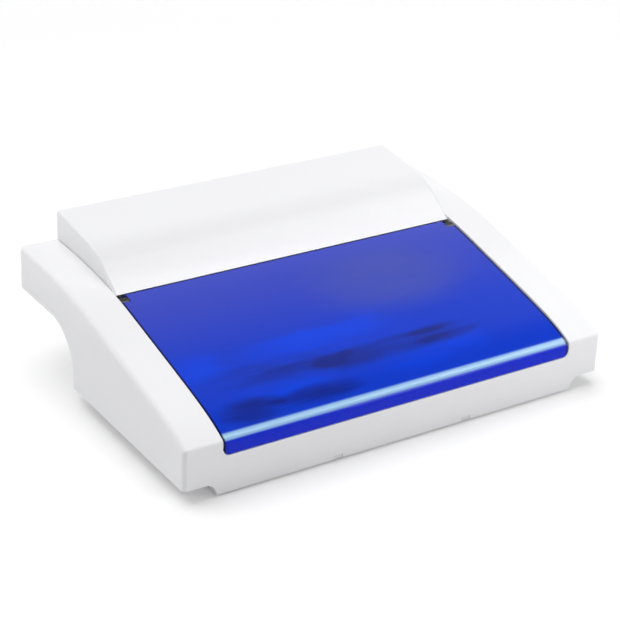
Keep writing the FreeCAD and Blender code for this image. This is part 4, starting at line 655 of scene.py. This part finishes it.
class LidSettings(bpy.types.PropertyGroup):
    front_blue: colour("Front blue", "Colour of the lid near its lip", (0.006, 0.056, 0.73))
    # Painted light: colour of the brighter patches
    light_patch_blue: colour("Patch blue", "Colour of the brighter patches in the lid", (0.0, 0.075, 0.98))
    # Lid's blue near the hinge, made paler and greyer by painted reflection
    rear_blue_and_reflection: colour("Rear blue", "Colour of the lid near the hinge", (0.055, 0.088, 0.68))
    # Painted reflection: colour of the greyer haze
    reflected_haze_blue: colour("Haze blue", "Colour of the duller haze in the lid", (0.095, 0.125, 0.54))
    # Painted shade: colour of the darker streaks
    shade_streak_blue: colour("Streak blue", "Colour of the darker streaks in the lid", (0.01, 0.02, 0.22))
    # Painted highlight: the pale blue of the bend stands in for a reflected softbox
    bend_highlight_blue: colour("Bend blue", "Colour of the lit bend above the lip", (0.42, 0.73, 1.0))
    lip_blue: colour("Lip blue", "Colour of the turned-down lip", (0.0, 0.024, 0.8))
    # Colour of the side edges: the sheet's darker edge together with painted gap shade
    edge_and_gap_shade_blue: colour("Edge blue", "Colour of the sawn side edges", (0.004, 0.006, 0.10))
    # Width of the dark edge band, which is partly painted gap shade
    edge_width: length("Edge width", "Width of the dark band along the sawn side edges", 2.2)
    # Painted reflection: strength of the greyer haze
    reflected_haze_strength: share("Haze", "Strength of the duller haze", 0.8)
    # Painted light: strength of the brighter patches
    light_patch_strength: share("Patches", "Strength of the brighter patches", 0.8)
    # Painted shade: strength of the darker streaks
    shade_streak_strength: share("Streaks", "Strength of the darker streaks", 0.8)
    clearness: share("Clearness", "Share of light that passes through the lid", 0.3)
    gloss: share("Gloss", "Strength of the clear gloss on the lid", 0.5)
    polish: share("Polish", "Roughness of the polished lid", 0.03)


class FittingSettings(bpy.types.PropertyGroup):
    black: colour("Black", "Colour of the hinge ears, gland and switch housing", (0.012, 0.012, 0.013))
    rocker_red: colour("Rocker red", "Colour of the power rocker", (0.42, 0.012, 0.01))
    rubber: colour("Rubber", "Colour of the feet and bumpers", (0.028, 0.028, 0.03))
    steel: colour("Steel", "Colour of pins, screws and the lamp guard", (0.55, 0.56, 0.58))
    brass: colour("Brass", "Colour of contacts", (0.72, 0.5, 0.2))
    screw_radius: length("Screw radius", "Radius of the case screws' shanks", 1.5)
    screw_head: length("Screw head", "Height of the case screws' heads", 1.4)
    holder_screw_radius: length("Holder screw radius", "Radius of the lampholder screws' shanks", 1.2)
    holder_screw_head: length("Holder screw head", "Height of the lampholder screws' heads", 1.2)
    interlock_screw_radius: length("Interlock screw radius", "Radius of the interlock screws' shanks", 1.0)
    interlock_screw_head: length("Interlock screw head", "Height of the interlock screws' heads", 1.0)
    switch_round: length("Switch rounding", "Rounding of the switch housing's edges", 0.4)
    rocker_round: length("Rocker rounding", "Rounding of the rocker's edges", 0.6)


class ChamberSettings(bpy.types.PropertyGroup):
    tub_white: colour("Tub white", "Colour of the chamber", (0.80, 0.81, 0.84))
    tray_white: colour("Tray white", "Colour of the tool tray", (0.80, 0.82, 0.86))
    sheet: colour("Sheet", "Colour of the polished sheet and the reflector", (0.82, 0.83, 0.85))
    quartz: colour("Quartz", "Colour of the lamp's glass", (0.93, 0.95, 1.0))
    rotor_round: length("Rotor rounding", "Rounding of the lampholder rotors' edges", 0.4)
    quartz_wall: length("Quartz wall", "Thickness of the lamp's glass", 0.9)


class ElectricSettings(bpy.types.PropertyGroup):
    holder_white: colour("Holder white", "Colour of the lampholders and sockets", (0.78, 0.78, 0.75))
    core: colour("Core", "Colour of the ballast's core", (0.05, 0.052, 0.055))
    tape: colour("Tape", "Colour of the winding's tape", (0.55, 0.32, 0.04))
    live: colour("Live lead", "Colour of the switched leads", (0.10, 0.035, 0.015))
    lamp: colour("Lamp lead", "Colour of the lamp's leads", (0.02, 0.05, 0.25))
    socket_round: length("Socket rounding", "Rounding of the starter's and terminals' edges", 0.5)


class StageSettings(bpy.types.PropertyGroup):
    floor: colour("Floor", "Colour of the floor", (0.86, 0.86, 0.86))
    floor_size: FloatProperty(name="Floor size", description="Side of the square floor", default=24.0, unit="LENGTH")
    floor_lift: share("Floor lift", "How much the floor is brightened where it is seen", 0.13)
    horizon: share("Horizon", "Brightness of the backdrop near the floor", 1.0)
    zenith: share("Zenith", "Brightness of the backdrop overhead", 0.16)
    fill: share("Fill", "Share of the backdrop's brightness that lights the box", 0.28)
    sky: FloatProperty(name="Sky", description="Strength of the soft light from above", default=2.72, min=0.0)
    sky_spread: angle("Sky spread", "Width of the soft light from above", 75)
    key_power: power("Key power", "Power of the softbox above", 7.6)
    side_power: power("Side power", "Power of the left softbox", 0.5)
    front_power: power("Front power", "Power of the right softbox", 4.6)
    camera_place: FloatVectorProperty(
        name="Camera place", description="Where the camera stands", default=(-0.769, -1.142, 0.740), size=3,
        subtype="TRANSLATION", unit="LENGTH")
    camera_yaw: angle("Yaw", "Turn of the view from straight ahead to the right", 33.94)
    camera_pitch: angle("Pitch", "Tilt of the view below the horizon", 26.48)
    camera_roll: angle("Roll", "Lean of the camera", 2.59)
    camera_lens: FloatProperty(
        name="Lens", description="Focal length in millimetres", default=106.3, unit="CAMERA")


class SterilizerSettings(bpy.types.PropertyGroup):
    shell: PointerProperty(type=ShellSettings)
    lid: PointerProperty(type=LidSettings)
    fittings: PointerProperty(type=FittingSettings)
    chamber: PointerProperty(type=ChamberSettings)
    electrics: PointerProperty(type=ElectricSettings)
    stage: PointerProperty(type=StageSettings)


# Operators


class STERILIZER_OT_shell(bpy.types.Operator):
    """Finish the white body, the hood and the base"""

    bl_idname = "sterilizer.shell"
    bl_label = "Body and Hood"

    def execute(self, context):
        settings = context.scene.sterilizer.shell
        white = moulded_white(settings.white, settings.roughness, settings.grain, settings.sheen, settings.satin)
        dress(surface("white_shell", white), "body_shell", "hood")
        base = moulded_white(settings.base_white, settings.roughness + 0.2, 3 * settings.grain, sheen=0.0)
        dress(surface("base_white", base), "base_cover", "rear_partition")
        return {"FINISHED"}


class STERILIZER_OT_lid(bpy.types.Operator):
    """Finish the blue lid and its black hinge ears"""

    bl_idname = "sterilizer.lid"
    bl_label = "Lid and Hinges"

    def execute(self, context):
        settings = context.scene.sterilizer
        dress(surface("blue_acrylic", blue_acrylic(settings.lid)), "lid")
        black = satin_black(settings.fittings.black, roughness=0.42)
        dress(surface("hinge_black", black), "hinge_ear_left", "hinge_ear_right")
        steel = drawn_metal(settings.fittings.steel, roughness=0.25, stretch=(0.05, 1.0, 1.0))
        dress(surface("hinge_steel", steel), "hinge_pin_left", "hinge_pin_right")
        return {"FINISHED"}


class STERILIZER_OT_chamber(bpy.types.Operator):
    """Finish the chamber, its polished floor, the tray and the lid bumpers"""

    bl_idname = "sterilizer.chamber"
    bl_label = "Chamber and Tray"

    def execute(self, context):
        settings = context.scene.sterilizer
        tub = moulded_white(settings.chamber.tub_white, roughness=0.3, grain=0.01 * MM, sheen=0.2)
        dress(surface("tub_white", tub), "chamber_tub")
        tray = moulded_white(settings.chamber.tray_white, roughness=0.38, grain=0.02 * MM, sheen=0.0)
        dress(surface("tray_white", tray), "tool_tray")
        sheet = drawn_metal(settings.chamber.sheet, roughness=0.16, stretch=(0.02, 1.0, 1.0))
        dress(surface("polished_sheet", sheet), "floor_sheet", "lamp_reflector")
        dress(surface("bumper_rubber", moulded_rubber(settings.fittings.rubber)), "lid_bumpers")
        return {"FINISHED"}


class STERILIZER_OT_lamp(bpy.types.Operator):
    """Finish the ultraviolet tube, its holders and its wire guard"""

    bl_idname = "sterilizer.lamp"
    bl_label = "Lamp"

    def execute(self, context):
        settings = context.scene.sterilizer
        quartz = surface("lamp_quartz", clear_quartz(settings.chamber.quartz))
        low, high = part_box("uv_tube")
        half, radius = (high.x - low.x) / 2, (high.z - low.z) / 2
        axis = joint_place("lamp_twist")
        wall = settings.chamber.quartz_wall
        bulb = self.bulb(half, radius)
        hollow = self.bulb(half - wall, radius - wall)
        bmesh.ops.reverse_faces(hollow, faces=hollow.faces)
        tube = set_at(gathered([bulb, hollow]), axis, (1, 0, 0))
        piece("quartz_tube", tube, "lamp", quartz, "lamp_glass", "uv_tube")
        ends = [(Vector((side, 0, 0)), axis + Vector((side * half, 0, 0))) for side in (-1, 1)]
        caps = gathered([set_at(turned(scaled(LAMP_CAP)), end, way) for way, end in ends])
        spun = drawn_metal(settings.chamber.sheet, roughness=0.28, stretch=(1.0, 0.2, 0.2))
        piece("lamp_end_caps", caps, "lamp", surface("lamp_cap", spun), "lamp_cap", "lamp_caps")
        stems = gathered([set_at(turned(scaled(LAMP_STEM)), end - way * (wall + MM), -way) for way, end in ends])
        frosted = surface("stem_glass", frosted_glass(settings.chamber.quartz))
        piece("lamp_stems", stems, "lamp", frosted, "lamp_glass")
        nickel = drawn_metal(settings.fittings.steel, roughness=0.3, stretch=(0.1, 1.0, 1.0))
        electrodes = gathered(self.electrodes(ends))
        piece("lamp_electrodes", electrodes, "lamp", surface("electrode_nickel", nickel), "steel")
        brass = drawn_metal(settings.fittings.brass, roughness=0.3, stretch=(0.1, 1.0, 1.0))
        dress(surface("contact_brass", brass), "lamp_pins", "switch_blades", "terminal_screws")
        pale = moulded_white(settings.electrics.holder_white, roughness=0.45, grain=0.02 * MM, sheen=0.0)
        holder = surface("holder_white", pale)
        dress(holder, "lampholder_left", "lampholder_right")
        remodelled(settings.chamber.rotor_round, "lamp", holder, "holder_white", "lamp_rotors", shortest=0.0)
        wire = drawn_metal(settings.fittings.steel, roughness=0.22, stretch=(0.05, 1.0, 1.0))
        dress(surface("guard_steel", wire), "lamp_guard")
        return {"FINISHED"}

    def bulb(self, half, radius):
        """Round-shouldered closed tube along Z."""
        shoulder = GLASS_SHOULDER * radius
        cut = GLASS_CUT * shoulder
        outline = [
            (0.0, -half), (radius - shoulder, -half), (radius - cut, -half + cut), (radius, -half + shoulder),
            (radius, half - shoulder), (radius - cut, half - cut), (radius - shoulder, half), (0.0, half)]
        return turned(outline)

    def electrodes(self, ends):
        """Two support wires and a wound filament at each end of the tube."""
        for way, end in ends:
            for side in (-1, 1):
                foot = end - way * SUPPORT_FOOT + Vector((0, side * SUPPORT_OFFSET, 0))
                yield set_at(turned(scaled(SUPPORT_WIRE), steps=12), foot, -way)
            wound = coil(**FILAMENT)
            bmesh.ops.translate(wound, vec=end - way * FILAMENT_PLACE, verts=wound.verts)
            yield wound


class STERILIZER_OT_rear_panel(bpy.types.Operator):
    """Finish the power switch and the cord gland in the rear pocket"""

    bl_idname = "sterilizer.rear_panel"
    bl_label = "Rear Panel"

    def execute(self, context):
        settings = context.scene.sterilizer.fittings
        black = surface("switch_black", satin_black(settings.black, roughness=0.26))
        remodelled(settings.switch_round, "case", black, "switch_black", "switch_body", "interlock_switch")
        red = surface("rocker_red", satin_black(settings.rocker_red, roughness=0.22))
        remodelled(settings.rocker_round, "rocker", red, "rocker_red", "switch_rocker")
        remodelled(settings.switch_round, "plunger", red, "rocker_red", "interlock_plunger")
        dull = surface("gland_black", satin_black(settings.black, roughness=0.5))
        low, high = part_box("cord_gland")
        mouth = Vector(((low.x + high.x) / 2, high.y, (low.z + high.z) / 2))
        gland = self.fluted(turned(scaled(GLAND), closed=True), (high.x - low.x) / 2)
        piece("cord_gland_moulding", set_at(gland, mouth, (0, 1, 0)), "case", dull, "hinge_black", "cord_gland")
        remodelled(settings.switch_round, "case", dull, "hinge_black", "gland_nut")
        return {"FINISHED"}

    def fluted(self, shape, radius):
        """Sink grip flutes into the rim of a round shape."""
        rim = [face for face in shape.faces if face.calc_center_median().xy.length > FLUTE_RIM * radius]
        rim.sort(key=lambda face: math.atan2(face.calc_center_median().y, face.calc_center_median().x))
        chosen = [face for count, face in enumerate(rim) if count % FLUTE_STEP < FLUTE_WIDTH]
        sunk = bmesh.ops.extrude_face_region(shape, geom=chosen)["geom"]
        bmesh.ops.delete(shape, geom=chosen, context="FACES")
        bmesh.ops.scale(shape, vec=(FLUTE_RADIUS, FLUTE_RADIUS, 1.0), verts=only(bmesh.types.BMVert, sunk))
        bmesh.ops.recalc_face_normals(shape, faces=shape.faces)
        return shape


class STERILIZER_OT_electrics(bpy.types.Operator):
    """Finish the ballast, the starter, the terminal block and the leads"""

    bl_idname = "sterilizer.electrics"
    bl_label = "Electrics"

    def execute(self, context):
        settings = context.scene.sterilizer.electrics
        dress(surface("core_steel", laminated_steel(settings.core)), "ballast_core")
        dress(surface("winding_tape", wrapped_tape(settings.tape)), "ballast_winding")
        pale = moulded_white(settings.holder_white, roughness=0.4, grain=0.02 * MM, sheen=0.0)
        pale = surface("socket_white", pale)
        remodelled(settings.socket_round, "starter_can", pale, "holder_white", "starter", shortest=0.0)
        remodelled(settings.socket_round, "case", pale, "holder_white", "starter_socket", "terminal_block")
        dress(surface("live_lead", insulated(settings.live)), "lead_switch_terminal", "lead_switch_ballast")
        dress(surface("lamp_lead", insulated(settings.lamp)), "lead_ballast_lamp", "lead_lamp_starter")
        return {"FINISHED"}


class STERILIZER_OT_fasteners(bpy.types.Operator):
    """Finish the screws"""

    bl_idname = "sterilizer.fasteners"
    bl_label = "Screws"

    def execute(self, context):
        settings = context.scene.sterilizer.fittings
        steel = surface("screw_steel", drawn_metal(settings.steel, roughness=0.3, stretch=(1.0, 1.0, 0.2)))
        large = (settings.screw_radius, settings.screw_head)
        small = (settings.holder_screw_radius, settings.holder_screw_head)
        fine = (settings.interlock_screw_radius, settings.interlock_screw_head)
        self.driven("hood_screws", (0, 0, -1), steel, *large)
        self.driven("base_screws", (0, 0, -1), steel, *large)
        self.driven("ballast_screws", (0, 0, 1), steel, *large)
        self.driven("lampholder_screws", (0, 0, -1), steel, *small)
        self.driven("interlock_screws", (1, 0, 0), steel, *fine)
        return {"FINISHED"}

    def driven(self, node, way, steel, shank_radius, head_height):
        """Screws in place of a CAD node's, their heads facing a way."""
        way = Vector(way)
        made = []
        for low, high in loose_boxes(node):
            size, middle = high - low, (low + high) / 2
            tall = abs(size.dot(way))
            head_radius = max(size - way * size.dot(way)) / 2
            seat = middle + way * (tall / 2 - head_height)
            made.append(set_at(screw(head_radius, head_height, shank_radius, tall - head_height), seat, way))
        piece("cross_" + node, gathered(made), "case", steel, "steel", node)


class STERILIZER_OT_feet(bpy.types.Operator):
    """Finish the four rubber feet"""

    bl_idname = "sterilizer.feet"
    bl_label = "Feet"

    def execute(self, context):
        rubber = surface("foot_rubber", moulded_rubber(context.scene.sterilizer.fittings.rubber))
        for node in ("foot_front_left", "foot_front_right", "foot_rear_left", "foot_rear_right"):
            low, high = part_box(node)
            middle = (low + high) / 2
            foot = set_at(turned(scaled(FOOT)), (middle.x, middle.y, low.z), (0, 0, 1))
            piece(node + "_pad", foot, "case", rubber, "foot_rubber", node)
        return {"FINISHED"}


def lamp(name, kind, place, way):
    """Lamp at a place, shining a way."""
    data = bpy.data.lights.new(name, kind)
    made = bpy.data.objects.new(name, data)
    made.location = place
    made.rotation_euler = Vector(way).to_track_quat("-Z", "Y").to_euler()
    bpy.context.scene.collection.objects.link(made)
    return made


def softbox(name, place, target, size, power):
    """Rectangular lamp at a place, facing a target."""
    made = lamp(name, "AREA", place, Vector(target) - Vector(place))
    made.data.shape = "RECTANGLE"
    made.data.size, made.data.size_y = size
    made.data.energy = power
    return made


class STERILIZER_OT_stage(bpy.types.Operator):
    """Set the box on a white floor under a soft sky and three softboxes, in front of the camera"""

    bl_idname = "sterilizer.stage"
    bl_label = "Stage"

    def execute(self, context):
        settings = context.scene.sterilizer.stage
        context.scene.view_settings.view_transform = "Standard"
        self.floor(settings)
        self.backdrop(context, settings)
        middle = (CAD_BOUNDS[0] + CAD_BOUNDS[1]) / 2
        key = softbox("key_softbox", KEY_PLACE, KEY_TARGET, KEY_SIZE, settings.key_power)
        key.visible_diffuse = False
        softbox("side_softbox", SIDE_PLACE, middle, SIDE_SIZE, settings.side_power)
        softbox("front_softbox", FRONT_PLACE, middle, FRONT_SIZE, settings.front_power)
        sky = lamp("sky", "SUN", SKY_PLACE, SKY_WAY)
        sky.data.energy = settings.sky
        sky.data.angle = settings.sky_spread
        sky.visible_glossy = False
        self.camera(context, settings)
        return {"FINISHED"}

    def floor(self, settings):
        """White floor that is brightened a little where it is seen."""
        mesh = bpy.data.meshes.new("floor")
        shape = bmesh.new()
        bmesh.ops.create_grid(shape, x_segments=1, y_segments=1, size=settings.floor_size / 2)
        shape.to_mesh(mesh)
        shape.free()
        floor = bpy.data.objects.new("floor", mesh)
        bpy.context.scene.collection.objects.link(floor)
        material = bpy.data.materials.new("white_floor")
        material.use_nodes = True
        nodes = Nodes(material.node_tree)
        matt = nodes.add("ShaderNodeBsdfDiffuse", None, {"Color": rgba(settings.floor)})
        seen = self.seen(nodes)
        glow = nodes.add("ShaderNodeEmission", None, {"Strength": seen * settings.floor_lift})
        both = nodes.add("ShaderNodeAddShader", None, {0: matt, 1: glow})
        nodes.add("ShaderNodeOutputMaterial", None, {"Surface": both})
        mesh.materials.append(material)

    def seen(self, nodes):
        """One where the camera, a reflection or a see-through piece looks, and nought for other light."""
        camera = nodes.add("ShaderNodeLightPath", output="Is Camera Ray")
        glossy = nodes.add("ShaderNodeLightPath", output="Is Glossy Ray")
        through = nodes.add("ShaderNodeLightPath", output="Is Transmission Ray")
        return nodes.add("ShaderNodeClamp", None, {"Value": camera + glossy + through})

    def backdrop(self, context, settings):
        """White at the horizon and dim overhead."""
        world = bpy.data.worlds.new("studio")
        world.use_nodes = True
        context.scene.world = world
        nodes = Nodes(world.node_tree)
        way = nodes.add("ShaderNodeTexCoord", output="Generated")
        up = nodes.add("ShaderNodeSeparateXYZ", None, {"Vector": way}, output="Z")
        level = nodes.ease(up, *BACKDROP_DIMS, settings.horizon, settings.zenith)
        seen = self.seen(nodes)
        strength = level * (settings.fill + seen * (1.0 - settings.fill))
        light = nodes.add("ShaderNodeBackground", None, {"Color": rgba((1.0, 1.0, 1.0)), "Strength": strength})
        nodes.add("ShaderNodeOutputWorld", None, {"Surface": light})

    def camera(self, context, settings):
        """Camera at the photograph's viewing angle."""
        data = bpy.data.cameras.new("camera")
        data.lens = settings.camera_lens
        camera = bpy.data.objects.new("camera", data)
        level = Matrix.Rotation(math.pi / 2 - settings.camera_pitch, 4, "X")
        turn = Matrix.Rotation(-settings.camera_yaw, 4, "Z")
        lean = Matrix.Rotation(settings.camera_roll, 4, "Z")
        camera.matrix_world = Matrix.Translation(settings.camera_place) @ turn @ level @ lean
        context.scene.collection.objects.link(camera)
        context.scene.camera = camera


class STERILIZER_PT_panel(bpy.types.Panel):
    """Buttons for the finishes and the stage"""

    bl_idname = "STERILIZER_PT_panel"
    bl_label = "Sterilizer Box"
    bl_space_type = "VIEW_3D"
    bl_region_type = "UI"
    bl_category = "Sterilizer"

    def draw(self, context):
        for operator in OPERATORS:
            self.layout.operator(operator.bl_idname)


SETTINGS = (
    ShellSettings,
    LidSettings,
    FittingSettings,
    ChamberSettings,
    ElectricSettings,
    StageSettings,
    SterilizerSettings,
)
OPERATORS = (
    STERILIZER_OT_shell,
    STERILIZER_OT_lid,
    STERILIZER_OT_chamber,
    STERILIZER_OT_lamp,
    STERILIZER_OT_rear_panel,
    STERILIZER_OT_electrics,
    STERILIZER_OT_fasteners,
    STERILIZER_OT_feet,
    STERILIZER_OT_stage,
)
CLASSES = SETTINGS + OPERATORS + (STERILIZER_PT_panel,)


def register():
    for one in CLASSES:
        bpy.utils.register_class(one)
    bpy.types.Scene.sterilizer = PointerProperty(type=SterilizerSettings)


def unregister():
    del bpy.types.Scene.sterilizer
    for one in reversed(CLASSES):
        bpy.utils.unregister_class(one)


def main():
    """Register the add-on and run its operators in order."""
    register()
    bpy.ops.sterilizer.shell()
    bpy.ops.sterilizer.lid()
    bpy.ops.sterilizer.chamber()
    bpy.ops.sterilizer.lamp()
    bpy.ops.sterilizer.rear_panel()
    bpy.ops.sterilizer.electrics()
    bpy.ops.sterilizer.fasteners()
    bpy.ops.sterilizer.feet()
    bpy.ops.sterilizer.stage()


if __name__ == "__main__":
    main()
